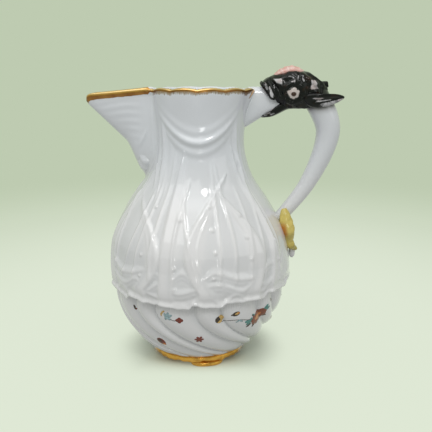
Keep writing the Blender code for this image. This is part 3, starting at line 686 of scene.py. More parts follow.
class Wire:
    """A socket of a node tree; sums on it add Math nodes."""

    def __init__(self, tree, socket=None):
        self.tree = tree
        self.socket = socket

    def add(self, kind, inputs, output=0, **settings):
        """Add a node, set it up, then fill its sockets with values or wires."""
        made = self.tree.nodes.new(kind)
        for name, value in settings.items():
            setattr(made, name, value)
        for key, value in inputs.items():
            if isinstance(value, Wire):
                self.tree.links.new(value.socket, made.inputs[key])
            else:
                made.inputs[key].default_value = value
        return Wire(self.tree, made.outputs[output])

    def math(self, operation, *others):
        return self.add("ShaderNodeMath", dict(enumerate((self, *others))), operation=operation)

    def __add__(self, other):
        return self.math("ADD", other)

    def __sub__(self, other):
        return self.math("SUBTRACT", other)

    def __rsub__(self, other):
        return self.add("ShaderNodeMath", {0: other, 1: self}, operation="SUBTRACT")

    def __mul__(self, other):
        return self.math("MULTIPLY", other)

    def __truediv__(self, other):
        return self.math("DIVIDE", other)

    __radd__ = __add__
    __rmul__ = __mul__

    def step(self, low, high):
        inputs = {"Value": self, "From Min": low, "From Max": high}
        return self.add("ShaderNodeMapRange", inputs, interpolation_type="SMOOTHSTEP")

    def blend(self, under, over):
        """A colour that goes from under to over as this number goes from 0 to 1."""
        under, over = (value if isinstance(value, Wire) else (*value, 1.0) for value in (under, over))
        return self.add("ShaderNodeMix", {0: self, 6: under, 7: over}, output=2, data_type="RGBA")


def finish(name, constants):
    """Turn a function that gives what varies over a surface into one that makes its material.

    The constants are set on the shader's own sockets.
    """

    def wrap(build):
        def make():
            material = bpy.data.materials.new(name)
            material.use_nodes = True
            tree = material.node_tree
            shader = tree.nodes["Principled BSDF"]
            for socket, value in constants.items():
                shader.inputs[socket].default_value = value
            for socket, wire in build(Wire(tree)).items():
                tree.links.new(wire.socket, shader.inputs[socket])
            return material

        return make

    return wrap


GLAZE = {"IOR": 1.52, "Coat Weight": 0.35, "Coat Roughness": 0.03}
ENAMEL = {"IOR": 1.42, "Coat Weight": 0.12, "Coat Roughness": 0.05}
BLACK_ENAMEL = {"IOR": 1.32}
# Heights between which a finish comes in
NECK_SHADE_HEIGHTS = (86 * MM, 120 * MM)
RIB_HEIGHTS = (36 * MM, 44 * MM)
BLACK_HEIGHTS = (136.2 * MM, 143.4 * MM)


def place_in(wire):
    """The surface's own place, as a vector."""
    return wire.add("ShaderNodeTexCoord", {}, output="Object")


def painted(wire, name):
    return wire.add("ShaderNodeAttribute", {}, output="Fac", attribute_name=name)


def speckle(wire, scale, detail=3.0):
    return wire.add("ShaderNodeTexNoise", {"Vector": place_in(wire), "Scale": scale, "Detail": detail})


def bump(wire, height, distance, strength=1.0):
    return wire.add("ShaderNodeBump", {"Height": height, "Distance": distance, "Strength": strength})


def coordinates(wire):
    parts = wire.add("ShaderNodeSeparateXYZ", {0: place_in(wire)})
    return [Wire(wire.tree, socket) for socket in parts.socket.node.outputs]


def white_base(wire, grey_and_shade):
    """White porcelain, a little greyer in random clouds, with painted shade: darker and bluer up the neck,
    and greyer by the share given, which lays painted shade in the hollows.
    """
    _, _, z = coordinates(wire)
    white = z.step(*NECK_SHADE_HEIGHTS).blend(colours().white, colours().neck_shade)
    cloud = speckle(wire, 38, 2.0).step(0.35, 0.8) * 0.2
    return (cloud + grey_and_shade * 0.4).blend(white, colours().grey_and_shade)


def glaze_skin(wire):
    """The faint ripple of a thick glaze."""
    return speckle(wire, 420, 2.0)


def gloss(wire):
    return 0.07 + 0.06 * speckle(wire, 90)


@finish("white_glaze", GLAZE)
def plain_glaze(wire):
    """White glaze with nothing painted on it."""
    return {
        "Base Color": white_base(wire, speckle(wire, 90) * 0.3),
        "Roughness": gloss(wire),
        "Normal": bump(wire, glaze_skin(wire), 0.05 * MM, 0.25),
    }


@finish("gilt_edged_glaze", GLAZE)
def gilt_edged_glaze(wire):
    """The body's glaze, with a gilt rim, hatched along its lower edge, and a gilt spout lip."""
    below = painted(wire, "below_rim")
    beak = painted(wire, "beak")
    x, y, _ = coordinates(wire)
    turn = y.math("ARCTAN2", x - AXIS_X)
    width = sizes().gilt_rim / MM + beak * ((sizes().gilt_spout - sizes().gilt_rim) / MM)
    wander = speckle(wire, 300) - 0.5
    band = 1 - (below + wander * 0.8 - width).step(-0.12, 0.12)
    uneven = turn + wander * 0.02
    comb = (uneven * 151).math("SINE") + (uneven * 89).math("SINE") * 0.8
    lower = below + wander * 2.6 - width
    ticks = comb.step(-0.3, 0.9) * painted(wire, "hatched") * (1 - lower.step(0.7, 1.7))
    haze = 0.72 * painted(wire, "hatched") * (1 - lower.step(0.2, 1.5))
    gilt = band.math("MAXIMUM", ticks * 0.8).math("MAXIMUM", haze)
    place = below / width
    root = painted(wire, "root")
    # Painted shade and highlight: the gold browns over the lower part of its band and has a light line near
    # its top, as a rolled lip shows under light from above
    shaded = (place - beak * 0.12).step(0.28, 0.54) * 0.8
    wear = speckle(wire, 160).step(0.35, 0.75) * 0.25 + shaded + root * 0.6
    gold = wear.math("MINIMUM", 1.0).blend(colours().gilt, colours().gilt_worn_and_shade)
    gleam = (1 - (place - 0.24).math("ABSOLUTE").step(0.06, 0.2)) * (1 - root)
    gold = (gleam * 0.75).blend(gold, colours().gilt_highlight)
    return {
        "Base Color": gilt.blend(white_base(wire, painted(wire, "hollow")), gold),
        "Metallic": gilt * 0.9,
        "Roughness": gloss(wire) + gilt * 0.22,
        "Normal": bump(wire, glaze_skin(wire) + gilt * 1.5, 0.05 * MM, 0.25),
    }


@finish("ribbed_glaze", GLAZE)
def ribbed_glaze(wire):
    """The bowl's glaze, with faint upright ribs under the skirt and gilding where it meets the foot; the
    gilding browns along its upper edge as a painted shadow line, and the white greys in the flutes' creases
    as painted shade.
    """
    x, y, z = coordinates(wire)
    ribs = (y.math("ARCTAN2", x - AXIS_X) * 230).math("SINE") * z.step(*RIB_HEIGHTS)
    edge = z + (speckle(wire, 260) - 0.5) * (1.2 * MM) - BOWL_LOW.z
    gilt = (1 - edge.step(1.7 * MM, 2.3 * MM)) * (1 - painted(wire, "bare"))
    # Painted shadow: the gold turns brown along its upper edge, where it meets the white
    gold = edge.step(0.9 * MM, 1.9 * MM).blend(colours().gilt, colours().gilt_worn_and_shade)
    return {
        "Base Color": gilt.blend(white_base(wire, painted(wire, "hollow")), gold),
        "Metallic": gilt * 0.9,
        "Roughness": 0.08 + 0.06 * speckle(wire, 90) + gilt * 0.16,
        "Normal": bump(wire, glaze_skin(wire) * 0.4 + ribs * 1.3, 0.08 * MM, 0.6),
    }


@finish("stem_glaze", GLAZE)
def stem_glaze(wire):
    """The handle's glaze: the beast's black thins through brown to white below the head, and reaches lower
    on the side nearer the body as painted shade under the head.
    """
    x, _, z = coordinates(wire)
    rise = z + speckle(wire, 160) * (1.6 * MM) - (x - 50 * MM) * 0.16
    black_and_shade = rise.step(*BLACK_HEIGHTS)
    # The stem's white is greyer all over than the body's: partly its own tone, partly painted shade
    white = white_base(wire, speckle(wire, 90) * 0.3 + 0.8)
    brown = (black_and_shade * 0.8).blend(white, colours().brown)
    return {
        "Base Color": black_and_shade.step(0.35, 0.95).blend(brown, colours().black),
        "Roughness": gloss(wire),
        "Normal": bump(wire, glaze_skin(wire), 0.05 * MM, 0.25),
    }


@finish("gilding", {"Metallic": 0.92})
def gilding(wire):
    """Burnished gold, browner where it is worn."""
    wear = speckle(wire, 210, 4.0).step(0.42, 0.72)
    return {
        "Base Color": (wear * 0.8).blend(colours().gilt, colours().gilt_worn_and_shade),
        "Roughness": 0.12 + 0.16 * speckle(wire, 260),
        "Normal": bump(wire, speckle(wire, 330), 0.15 * MM, 0.3),
    }


@finish("worn_gilding", {})
def worn_gilding(wire):
    """Gilding that thins through peach to the white glaze where it is bare."""
    bare = (painted(wire, "bare") + (speckle(wire, 240, 3.0) - 0.5) * 0.9).step(0.2, 0.9)
    wear = speckle(wire, 210, 4.0).step(0.42, 0.72)
    gold = (wear * 0.5).blend(colours().gilt, colours().gilt_worn_and_shade)
    return {
        "Base Color": bare.blend(gold, white_base(wire, speckle(wire, 90) * 0.3)),
        "Metallic": 0.92 * (1 - bare),
        "Roughness": 0.15 + 0.14 * speckle(wire, 260) - 0.1 * bare,
        "Normal": bump(wire, speckle(wire, 330), 0.15 * MM, 0.4),
    }


@finish("black_enamel", BLACK_ENAMEL)
def black_enamel(wire):
    """Glossy black, thin and brownish in places, with pale brush strokes, and on the head and gills a
    painted reflection and painted highlights in the same pale.
    """
    thin = speckle(wire, 240, 4.0).step(0.55, 0.8) * 0.5
    ground = thin.blend(colours().black, colours().brown)
    stroke = painted(wire, "pale") * 1.7 - speckle(wire, 460, 3.0).step(0.25, 0.75) * 0.95
    tint = (speckle(wire, 130).step(0.5, 0.75) * 0.7).blend(colours().pale, colours().flesh)
    return {
        "Base Color": stroke.step(0.0, 1.0).blend(ground, tint),
        "Roughness": 0.06 + 0.1 * speckle(wire, 160),
        "Normal": bump(wire, speckle(wire, 380), 0.12 * MM, 0.3),
    }


@finish("eye_enamel", ENAMEL)
def eye_enamel(wire):
    """An off-white patch with a broken edge and a brown pupil, on black."""
    broken = (painted(wire, "rim") + (speckle(wire, 640, 3.0) - 0.5) * 1.4).step(0.25, 0.75)
    warm = (speckle(wire, 300).step(0.45, 0.75) * 0.45).blend(colours().eye, colours().flesh)
    ground = broken.blend(warm, colours().black)
    return {
        "Base Color": painted(wire, "pupil").blend(ground, colours().pupil),
        "Roughness": 0.1 + 0.08 * speckle(wire, 300),
    }


def mottled_enamel(name, ground, shade, scale, share, mask=None, rust=None):
    """An enamel that goes unevenly from one colour to another.

    It goes further where the mask says so, and is rusty where the other mask does.
    """

    @finish(name, ENAMEL)
    def make(wire):
        mottle = speckle(wire, scale).step(0.35, 0.7) * share
        if mask:
            mottle = (mottle + painted(wire, mask)).math("MINIMUM", 1.0)
        tone = mottle.blend(ground, shade)
        if rust:
            tone = painted(wire, rust).blend(tone, colours().rust)
        return {
            "Base Color": tone,
            "Roughness": 0.12 + 0.12 * speckle(wire, 300),
            "Normal": bump(wire, speckle(wire, 500), 0.08 * MM, 0.3),
        }

    return make()


# Body and bowl

UNGILT = 99.0
GILT_TRAIL = 4.4
COLUMN_CROWDING = 0.6
SPOUT_ROOT = 26.2 * MM
# Distances towards the spout, and heights, between which a painted mask comes in or goes out
BEAK_GILT = (25.2 * MM, 26.4 * MM)
HATCHING_END = (24.2 * MM, 22.8 * MM)
HOLLOW_TOP = (120 * MM, 108 * MM)
HOLLOW_FOOT = (44 * MM, 56 * MM)


class JUG_OT_body(bpy.types.Operator):
    """Mould the upper body and its spout, with the ornament, the lobed rim and the ragged skirt"""

    bl_idname = "jug.body"
    bl_label = "Body and Spout"
    bl_options = {"REGISTER", "UNDO"}

    def execute(self, context):
        mesh = turned("body_with_spout", self.section(), sizes().columns, closed=True)
        co = points_of(mesh)
        turn = np.arctan2(co[:, 1], co[:, 0])
        turn = turn + COLUMN_CROWDING * np.sin(turn)
        side = np.hypot(co[:, 0], co[:, 1]) - 1
        level = co[:, 2]
        edge = skirt_edge(turn)
        top = rim_top(turn)
        height = edge + np.minimum(level, 1) * (top - edge) + np.maximum(level - 1, 0) * sizes().lip_rise
        skin = side > 0.99
        lift = np.zeros(len(co))
        lift[skin] = relief(turn[skin], height[skin])
        inner = inner_radius(turn, height)
        radius = inner + (outer_radius(turn, height, lift) - inner) * side
        shaped = round_axis(AXIS_X, turn, radius, height)
        move_points(mesh, shaped)
        below = (top + sizes().lip_rise - height) / MM
        by_bridge = bell(np.abs(turn) - 0.17 - 0.034 * below, 0.04) * step(7.0, 4.5, below)
        paint(mesh, "below_rim", np.where(side < 0.5, UNGILT, below - GILT_TRAIL * by_bridge))
        reach = AXIS_X - shaped[:, 0]
        paint(mesh, "beak", step(*BEAK_GILT, reach))
        paint(mesh, "hatched", step(*HATCHING_END, reach))
        paint(mesh, "root", bell(reach - SPOUT_ROOT, 1.4 * MM))
        # Painted shade: the white greys on the low ground between the relief, from the skirt up to the neck
        low = step(0.5 * MM, 0.0, lift) * skin
        paint(mesh, "hollow", low * step(*HOLLOW_TOP, height) * step(*HOLLOW_FOOT, height))
        add_piece("body_with_spout", mesh, [gilt_edged_glaze()], "porcelain", "upper_body", "spout")
        return {"FINISHED"}

    def section(self):
        """The wall's outline: 1 is its inner skin and 2 its outer one, 0 the skirt's edge and 1 the rim."""
        rows = sizes().rows
        lip_steps = 6
        inner_rows = 11
        hem = (1.5, -0.004)
        lip = [math.pi * k / lip_steps for k in range(1, lip_steps)]
        outline = [(2.0, k / rows) for k in range(rows + 1)]
        outline += [(1.5 + 0.5 * math.cos(a), 1 + math.sin(a)) for a in lip]
        outline += [(1.0, 1 - (k / inner_rows) ** 1.5) for k in range(inner_rows + 1)]
        return outline + [hem]


FLUTE_PAIRS = 8
FLUTE_TWIST = math.radians(75)
FLUTE_PHASE = math.radians(14.6)
BROAD_SHARE = 0.62
CREASE_SHARE = 0.62
BOWL_FOOT_RADIUS = 26.0 * MM
FOOT_TRIM = 0.7 * MM
FOOT_SHIFT = 1.2 * MM
BOWL_SHOULDER_Z = 42.1 * MM
BOWL_FLOOR = 4.0 * MM
BOWL_TUCK = 1.3 * MM


def bowl_share(height):
    return np.clip((height - BOWL_LOW.z) / (BOWL_SHOULDER_Z - BOWL_LOW.z), 0.0, 1.0)


def bowl_base(height):
    """The bowl's radius before its flutes are pressed."""
    top = body_radius(np.maximum(height, SKIRT_Z)) - sizes().skirt_lip - CLEARANCE
    swell = (1 - (1 - bowl_share(height)) ** 2) ** 0.9
    tuck = BOWL_TUCK * np.sin(math.pi * bowl_share(height))
    return BOWL_FOOT_RADIUS + (top - BOWL_FOOT_RADIUS) * swell - tuck


def bowl_axis(height):
    """The bowl's middle, which leans a little towards the spout at the foot."""
    return AXIS_X - FOOT_SHIFT * (1 - bowl_share(height)) ** 1.5


def flute_twist(height):
    return FLUTE_PHASE + FLUTE_TWIST * (1 - bowl_share(height)) ** 2


def flute_crown(turn, height):
    """How far each place stands up in its flute: broad and narrow lobes, with sharp creases between."""
    place = ((turn - flute_twist(height)) / math.tau * FLUTE_PAIRS) % 1.0
    broad = 0.9 * np.sin(math.pi * np.clip(place / BROAD_SHARE, 0, 1) ** 0.75) ** 0.72
    narrow = np.sin(math.pi * np.clip((place - BROAD_SHARE) / (1 - BROAD_SHARE), 0, 1) ** 0.9) ** 0.8
    return np.where(place < BROAD_SHARE, broad, narrow)


def bowl_radius(turn, height):
    """The bowl's fluted skin, smooth at the foot and where it goes up into the skirt."""
    share = bowl_share(height)
    fade = np.minimum(1.0, 5 * share) * step(LAP_Z, LAP_Z - 4 * MM, height)
    level = CREASE_SHARE + (1 - CREASE_SHARE) * share ** 6
    return bowl_base(height) + sizes().flute * (flute_crown(turn, height) - level) * fade


class JUG_OT_bowl(bpy.types.Operator):
    """Turn the lower bowl and press its spiral flutes"""

    bl_idname = "jug.bowl"
    bl_label = "Fluted Bowl"
    bl_options = {"REGISTER", "UNDO"}

    def execute(self, context):
        rows = 84
        columns = 70 * FLUTE_PAIRS
        rises = [BOWL_LOW.z + (LAP_Z - BOWL_LOW.z) * (k / rows) ** 1.2 for k in range(rows + 1)]
        wall = sizes().wall
        floor = BOWL_LOW.z + BOWL_FLOOR
        outline = [(0.0, BOWL_LOW.z), (BOWL_FOOT_RADIUS / 2, BOWL_LOW.z)]
        outline += [(float(bowl_base(z)), z) for z in rises]
        inside = [z for z in reversed(rises[::4]) if z > floor + 1 * MM]
        outline += [(float(bowl_base(z)) - wall, z) for z in inside]
        outline += [(BOWL_FOOT_RADIUS - wall, floor), (0.0, floor)]
        mesh = turned("bowl", outline, columns)
        co = points_of(mesh)
        height = co[:, 2]
        plain = np.hypot(co[:, 0], co[:, 1])
        skin = plain > bowl_base(height) - wall / 2
        turn = np.arctan2(co[:, 1], co[:, 0]) + np.where(skin, flute_twist(height), 0.0)
        radius = np.where(skin, bowl_radius(turn, height), plain)
        move_points(mesh, round_axis(bowl_axis(height), turn, radius, height))
        # Painted shade: the white greys in the flutes' creases
        paint(mesh, "hollow", skin * step(0.55, 0.15, flute_crown(turn, height)))
        paint(mesh, "bare", 1 - skin * step(0.95, 0.7, np.abs(np.cos(turn))))
        add_piece("bowl_with_flutes", mesh, [ribbed_glaze()], "porcelain", "fluted_bowl")
        return {"FINISHED"}


# Painted flowers

PAINTS = ("red", "brick", "orange", "ochre", "teal", "sky", "umber")
LAYER = 0.004 * MM


def wrap_on_bowl(local, turn, rise):
    """Lay flat points, (right, up, out) in metres from a spot on the bowl, onto its fluted skin."""
    reach = 0.5 * MM
    slope = float(bowl_base(np.array(rise + reach)) - bowl_base(np.array(rise - reach))) / (2 * reach)
    lean = math.hypot(1, slope)
    height = rise + local[:, 1] / lean
    angle = turn + local[:, 0] / bowl_base(height)
    radius = bowl_radius(angle, height) + local[:, 2] / lean
    return round_axis(bowl_axis(height), angle, radius, height - local[:, 2] * slope / lean)


class Sprig:
    """A painted sprig: dabs of enamel laid round a spot on the bowl."""

    def __init__(self, bm, angle, rise):
        self.bm = bm
        self.turn = math.radians(angle)
        self.rise = rise * MM
        self.count = 0

    def dab(self, right, up, long, wide, lean, paint_name):
        """One brush mark, in mm: a flattened oval whose long axis leans by degrees from upright."""
        self.count += 1
        shift = Matrix.Translation((right * MM, up * MM, LAYER * self.count))
        tilt = Matrix.Rotation(math.radians(-lean), 4, "Z")
        scale = Matrix.Diagonal((wide * MM, long * MM, sizes().enamel, 1.0))
        part = ball(12, 6, shift @ tilt @ scale)
        local = np.array([vert.co for vert in part.verts])
        for vert, place in zip(part.verts, wrap_on_bowl(local, self.turn, self.rise)):
            vert.co = place
        for face in part.faces:
            face.material_index = PAINTS.index(paint_name)
        join(self.bm, part)

    def dabs(self, places, long, wide, paint_name):
        """Brush marks of one kind, each with its own (right, up, lean)."""
        for right, up, lean in places:
            self.dab(right, up, long, wide, lean, paint_name)

    def line(self, points, wide, paint_name):
        """A thin brush line through (right, up) points, as a row of overlapping marks."""
        path = smooth_path([(x, y, 0) for x, y in points], 5)
        for a, b in zip(path, path[1:]):
            middle = (a + b) / 2
            lean = math.degrees(math.atan2(b.x - a.x, b.y - a.y))
            self.dab(middle.x, middle.y, 0.65 * (b - a).length, wide, lean, paint_name)


def floret(sprig):
    """A red floret of six round petals."""
    for lean in range(30, 390, 60):
        angle = math.radians(lean)
        sprig.dab(1.5 * math.sin(angle), 1.5 * math.cos(angle), 0.95, 0.72, lean, "red")
    sprig.dab(0, 0, 1.0, 1.0, 0, "red")


def leaf_and_bud(sprig):
    """A pale blue leaf spray with ochre tips, and a red bud on a short stalk."""
    sprig.line([(1.6, -1.4), (3.0, -2.2), (4.8, -2.0)], 0.2, "umber")
    leaves = ((-1.3, 0.4, -20), (0.1, 1.0, 15), (1.2, 0.3, 60), (0.4, -1.2, 120), (-0.9, -1.0, 200))
    sprig.dabs(leaves, 1.5, 0.8, "sky")
    sprig.dabs(((-3.2, 1.4, 20), (-2.4, 2.4, 60), (-3.8, 0.4, -10)), 0.95, 0.5, "ochre")
    sprig.dab(6.2, -1.8, 2.1, 1.2, 90, "red")
    sprig.dab(6.2, -1.8, 1.8, 1.2, 0, "red")
    sprig.dab(6.1, -1.8, 0.7, 0.55, 0, "umber")


def dark_bud(sprig):
    """An ochre bud with a dark heart."""
    sprig.dab(1.3, 0.9, 1.8, 1.9, 0, "ochre")
    sprig.dab(0.7, -0.6, 1.2, 1.6, 0, "ochre")
    sprig.dab(0.2, 0.3, 1.9, 2.1, 0, "umber")


def brown_bud(sprig):
    """A slanting brown bud."""
    sprig.dab(0.0, 0.4, 3.0, 2.0, -40, "red")
    sprig.dab(-0.3, 0.8, 2.3, 1.6, -40, "umber")
    sprig.dab(1.4, -1.2, 1.2, 0.8, -50, "orange")


def small_bud(sprig):
    """An ochre bud between two brown strokes."""
    sprig.dab(0.2, 0, 2.2, 1.35, 78, "umber")
    sprig.dab(0.4, 0.1, 1.9, 1.12, 78, "ochre")
    sprig.dab(1.3, 0.4, 0.9, 0.55, 60, "orange")
    sprig.dab(-1.8, -0.4, 0.9, 0.5, 80, "umber")


def speck(sprig):
    """A pair of short brown strokes."""
    sprig.dab(0, 0, 1.5, 0.7, -25, "umber")
    sprig.dab(1.0, -0.8, 0.8, 0.4, 40, "red")


def bouquet(sprig):
    """The large flower with its leaves and a long trailing stalk."""
    sprig.line([(-23.0, 1.4), (-18.0, 2.0), (-13.0, 1.6), (-8.0, 0.2), (-4.0, -0.6)], 0.18, "umber")
    sprig.dabs(((-14.2, 1.0, 230), (-12.4, 0.8, 120)), 1.5, 0.5, "sky")
    leaves = ((-7.8, -1.0, 280), (-6.6, -2.2, 245), (-5.8, -0.8, 215), (4.4, 4.8, 40), (5.6, 3.6, 65))
    sprig.dabs(leaves, 1.9, 0.95, "teal")
    shade = ((-3.8, 1.6, -60), (-6.2, -3.8, 235), (4.6, -0.9, 100), (-2.2, -4.6, 215), (0.6, -3.6, 220))
    sprig.dabs(shade, 1.7, 0.7, "umber")
    sprig.dab(-3.6, 1.9, 1.3, 0.5, -60, "teal")
    slant = math.radians(34)
    petals = 9
    for k in range(petals):
        along = 3.9 * math.cos(math.tau * k / petals)
        across = 2.4 * math.sin(math.tau * k / petals)
        right = along * math.cos(slant) - across * math.sin(slant)
        up = along * math.sin(slant) + across * math.cos(slant)
        sprig.dab(right + 0.3, up - 0.2, 1.8, 1.6, 54, "brick")
    sprig.dabs(((-2.6, -2.9, 60), (2.2, -1.0, 60)), 1.3, 0.3, "umber")
    sprig.dab(0.2, -0.2, 2.9, 1.8, 52, "orange")
    sprig.dab(0.0, -0.1, 2.0, 0.7, 52, "ochre")


# Where each sprig is: its turn round the bowl in degrees and its height in mm
SPRIGS = (
    (leaf_and_bud, -109.5, 38.2), (dark_bud, -77.0, 36.2), (small_bud, -65.8, 38.9), (bouquet, -46.0, 33.4),
    (floret, -89.0, 24.3), (speck, -138.8, 37.3), (brown_bud, -119.8, 19.0), (speck, -35.0, 40.4),
    (floret, -22.0, 27.0), (small_bud, -10.0, 37.0),
)


class JUG_OT_sprigs(bpy.types.Operator):
    """Paint the scattered flower sprigs on both sides of the bowl"""

    bl_idname = "jug.sprigs"
    bl_label = "Painted Sprigs"
    bl_options = {"REGISTER", "UNDO"}

    def execute(self, context):
        bm = bmesh.new()
        for half_turn in (0, 180):
            for draw, angle, rise in SPRIGS:
                draw(Sprig(bm, angle + half_turn, rise))
        bmesh.ops.recalc_face_normals(bm, faces=bm.faces)
        mesh = mesh_from(bm, "sprigs")
        materials = []
        for name in PAINTS:
            ground = getattr(colours(), name)
            materials.append(mottled_enamel("painted_" + name, ground, colours().umber, 900, 0.35))
        add_piece("painted_sprigs", mesh, materials, None)
        return {"FINISHED"}


# Foot and shell

FOOT_BORE = 18 * MM
BEAD_CORNER = 0.55
PAD_PLACES = ("front", "right", "back", "left")
PAD_WIDTH = 17.5 * MM
PAD_DEPTH = 9.0 * MM
PAD_TUCK = 3.2 * MM
PAD_ROLL = 2.0 * MM
SHELL_RISE = 17.0 * MM
SHELL_DROP = 9.0 * MM
SHELL_HALF_DEPTH = 5.6 * MM
SHELL_HALF_WIDTH = 7.2 * MM
SHELL_LEAN = 2.0 * MM
SHELL_SETBACK = 2.2 * MM
SHELL_LIFT = 3.4 * MM
SHELL_RIBS = 22


def bead_outline(low, high, steps):
    """Rounded outline of a band between two (distance, height) corners."""
    outline = []
    for k in range(steps):
        a = math.tau * k / steps
        distance = (low[0] + high[0]) / 2 + (high[0] - low[0]) / 2 * squared(math.cos(a), BEAD_CORNER)
        height = (low[1] + high[1]) / 2 + (high[1] - low[1]) / 2 * squared(math.sin(a), BEAD_CORNER)
        outline.append((distance, height))
    return outline


class JUG_OT_foot(bpy.types.Operator):
    """Model the gilt foot: a ragged band on four rolled pads"""

    bl_idname = "jug.foot"
    bl_label = "Gilt Foot"
    bl_options = {"REGISTER", "UNDO"}

    def execute(self, context):
        gold = gilding()
        low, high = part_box("foot_ring")
        outer = (high.x - low.x) / 2 - FOOT_TRIM
        bead = bead_outline((FOOT_BORE, low.z), (outer, high.z + 4 * CLEARANCE), 40)
        mesh = turned("foot_band", bead, 384, closed=True)
        co = points_of(mesh)
        turn = np.arctan2(co[:, 1], co[:, 0])
        radius = np.hypot(co[:, 0], co[:, 1])
        ragged = 0.5 * np.sin(11 * turn + 1.0) + 0.35 * np.sin(23 * turn) + 0.3 * np.sin(37 * turn + 2.0)
        ragged = ragged * step(0.6 * outer, outer, radius) * step(high.z, low.z, co[:, 2])
        radius = radius + 0.35 * MM * ragged
        height = co[:, 2] - 0.3 * MM * ragged
        move_points(mesh, round_axis(AXIS_X - FOOT_SHIFT, turn, radius, height))
        paint(mesh, "bare", 0.85 * step(0.72, 1.0, np.abs(np.cos(turn))))
        add_piece("gilt_foot_band", mesh, [worn_gilding()], "gilding", "foot_ring")
        for place in PAD_PLACES:
            self.add_pad(place, gold)
        return {"FINISHED"}

    def add_pad(self, place, gold):
        """One pad: a block that stands on a thick smooth roll."""
        node = "foot_pad_" + place
        low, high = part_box(node)
        centre = (low + high) / 2
        turn = math.atan2(centre.y, centre.x - AXIS_X)
        inward = FOOT_TRIM / 2 + PAD_TUCK * abs(math.cos(turn)) + FOOT_SHIFT * math.cos(turn)
        distance = math.hypot(centre.y, centre.x - AXIS_X) - inward
        mesh = mesh_from(ball(72, 28), node)
        co = points_of(mesh)
        flat = np.sign(co) * np.abs(co) ** np.array((0.8, 0.7, 0.5))
        rise = (high.z + 4.5 * CLEARANCE) / 2 * (1 + flat[:, 2])
        roll = bell(rise - PAD_ROLL, PAD_ROLL)
        out = distance + PAD_DEPTH / 2 * flat[:, 0] * (0.88 + 0.18 * roll)
        sideways = PAD_WIDTH / 2 * flat[:, 1] * (0.88 + 0.12 * roll)
        move_points(mesh, round_axis(AXIS_X, turn + sideways / distance, out, rise))
        add_piece("gilt_pad_" + place, mesh, [gold], "gilding", node)


class JUG_OT_shell(bpy.types.Operator):
    """Model the ribbed shell under the spout"""

    bl_idname = "jug.shell"
    bl_label = "Spout Shell"
    bl_options = {"REGISTER", "UNDO"}

    def execute(self, context):
        low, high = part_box("spout_boss")
        centre = Vector((high.x - SHELL_SETBACK, 0, (low.z + high.z) / 2 + SHELL_LIFT))
        mesh = mesh_from(ball(96, 64), "shell")
        co = points_of(mesh)
        up = np.clip(co[:, 2], 0.0, 1.0)
        fan = np.arctan2(co[:, 1], 1.3 - co[:, 2])
        ribs = 1 + 0.035 * np.cos(SHELL_RIBS * fan) * step(0.5, 0.0, up)
        co[:, 0] = centre.x + SHELL_HALF_DEPTH * co[:, 0] * ribs - SHELL_LEAN * up
        co[:, 1] = centre.y + SHELL_HALF_WIDTH * co[:, 1] * ribs
        co[:, 2] = centre.z + np.where(co[:, 2] > 0, SHELL_RISE, SHELL_DROP) * co[:, 2]
        move_points(mesh, co)
        add_piece("shell_under_spout", mesh, [plain_glaze()], "porcelain", "spout_boss")
        return {"FINISHED"}


# Handle and beast

HEAD_LOW, HEAD_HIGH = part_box("beast_head")
HEAD_CENTRE = Vector(((HEAD_LOW.x + HEAD_HIGH.x) / 2, 0, 148.5 * MM))
HEAD_LENGTH = 37.0 * MM
HEAD_HEIGHT = 21.5 * MM
HEAD_WIDTH = 19.0 * MM
MOUTH_LIFT = 4.0 * MM
TAIL_Z = 79.0 * MM


def head_place(share, rise=0.0):
    """A place at a share of the way from the snout to the nape, up from the head's bent middle line."""
    lift = MOUTH_LIFT * (0.9 * (1 - share) ** 3 + 0.2 * share ** 3)
    return HEAD_CENTRE + Vector(((share - 0.5) * HEAD_LENGTH, 0, lift + rise))


def head_half_height(share):
    return rounded(HEAD_HEIGHT / 2)(share) * min(1.0, 0.72 + 0.62 * share)


def from_head(x, y, z):
    """A place given in mm from the head's middle."""
    return HEAD_CENTRE + Vector((x * MM, y * MM, z * MM))


def head_points(mesh):
    """Vertex places in mm from the head's middle: forward-back and up, seen from the side."""
    co = points_of(mesh)
    return (co[:, 0] - HEAD_CENTRE.x) / MM, (co[:, 2] - HEAD_CENTRE.z) / MM


def ridge(x, z, points, half_width, height):
    """A raised line on the side of the head, in mm."""
    distance, share = along_stroke(x, z, points)
    ends = np.clip(5 * np.minimum(share + 0.05, 1.05 - share), 0.0, 1.0)
    return height * bell(distance, half_width * 0.7) * ends


def mark(x, z, points, half_width):
    """A pale brush stroke on the side of the head."""
    distance, share = along_stroke(x, z, points)
    swell = np.sqrt(np.clip(4 * share * (1 - share), 0.0, 1.0))
    return step(1.1, 0.6, distance / (half_width * (0.5 + swell)))


def tail_point(sideways, rise, lift):
    """A place given in mm from where the tail meets the body: round it, up it and off its skin."""
    height = TAIL_Z + rise * MM
    radius = float(body_radius(height))
    turn = sideways * MM / radius
    reach = radius + lift * MM
    return Vector((AXIS_X + reach * math.cos(turn), reach * math.sin(turn), height))


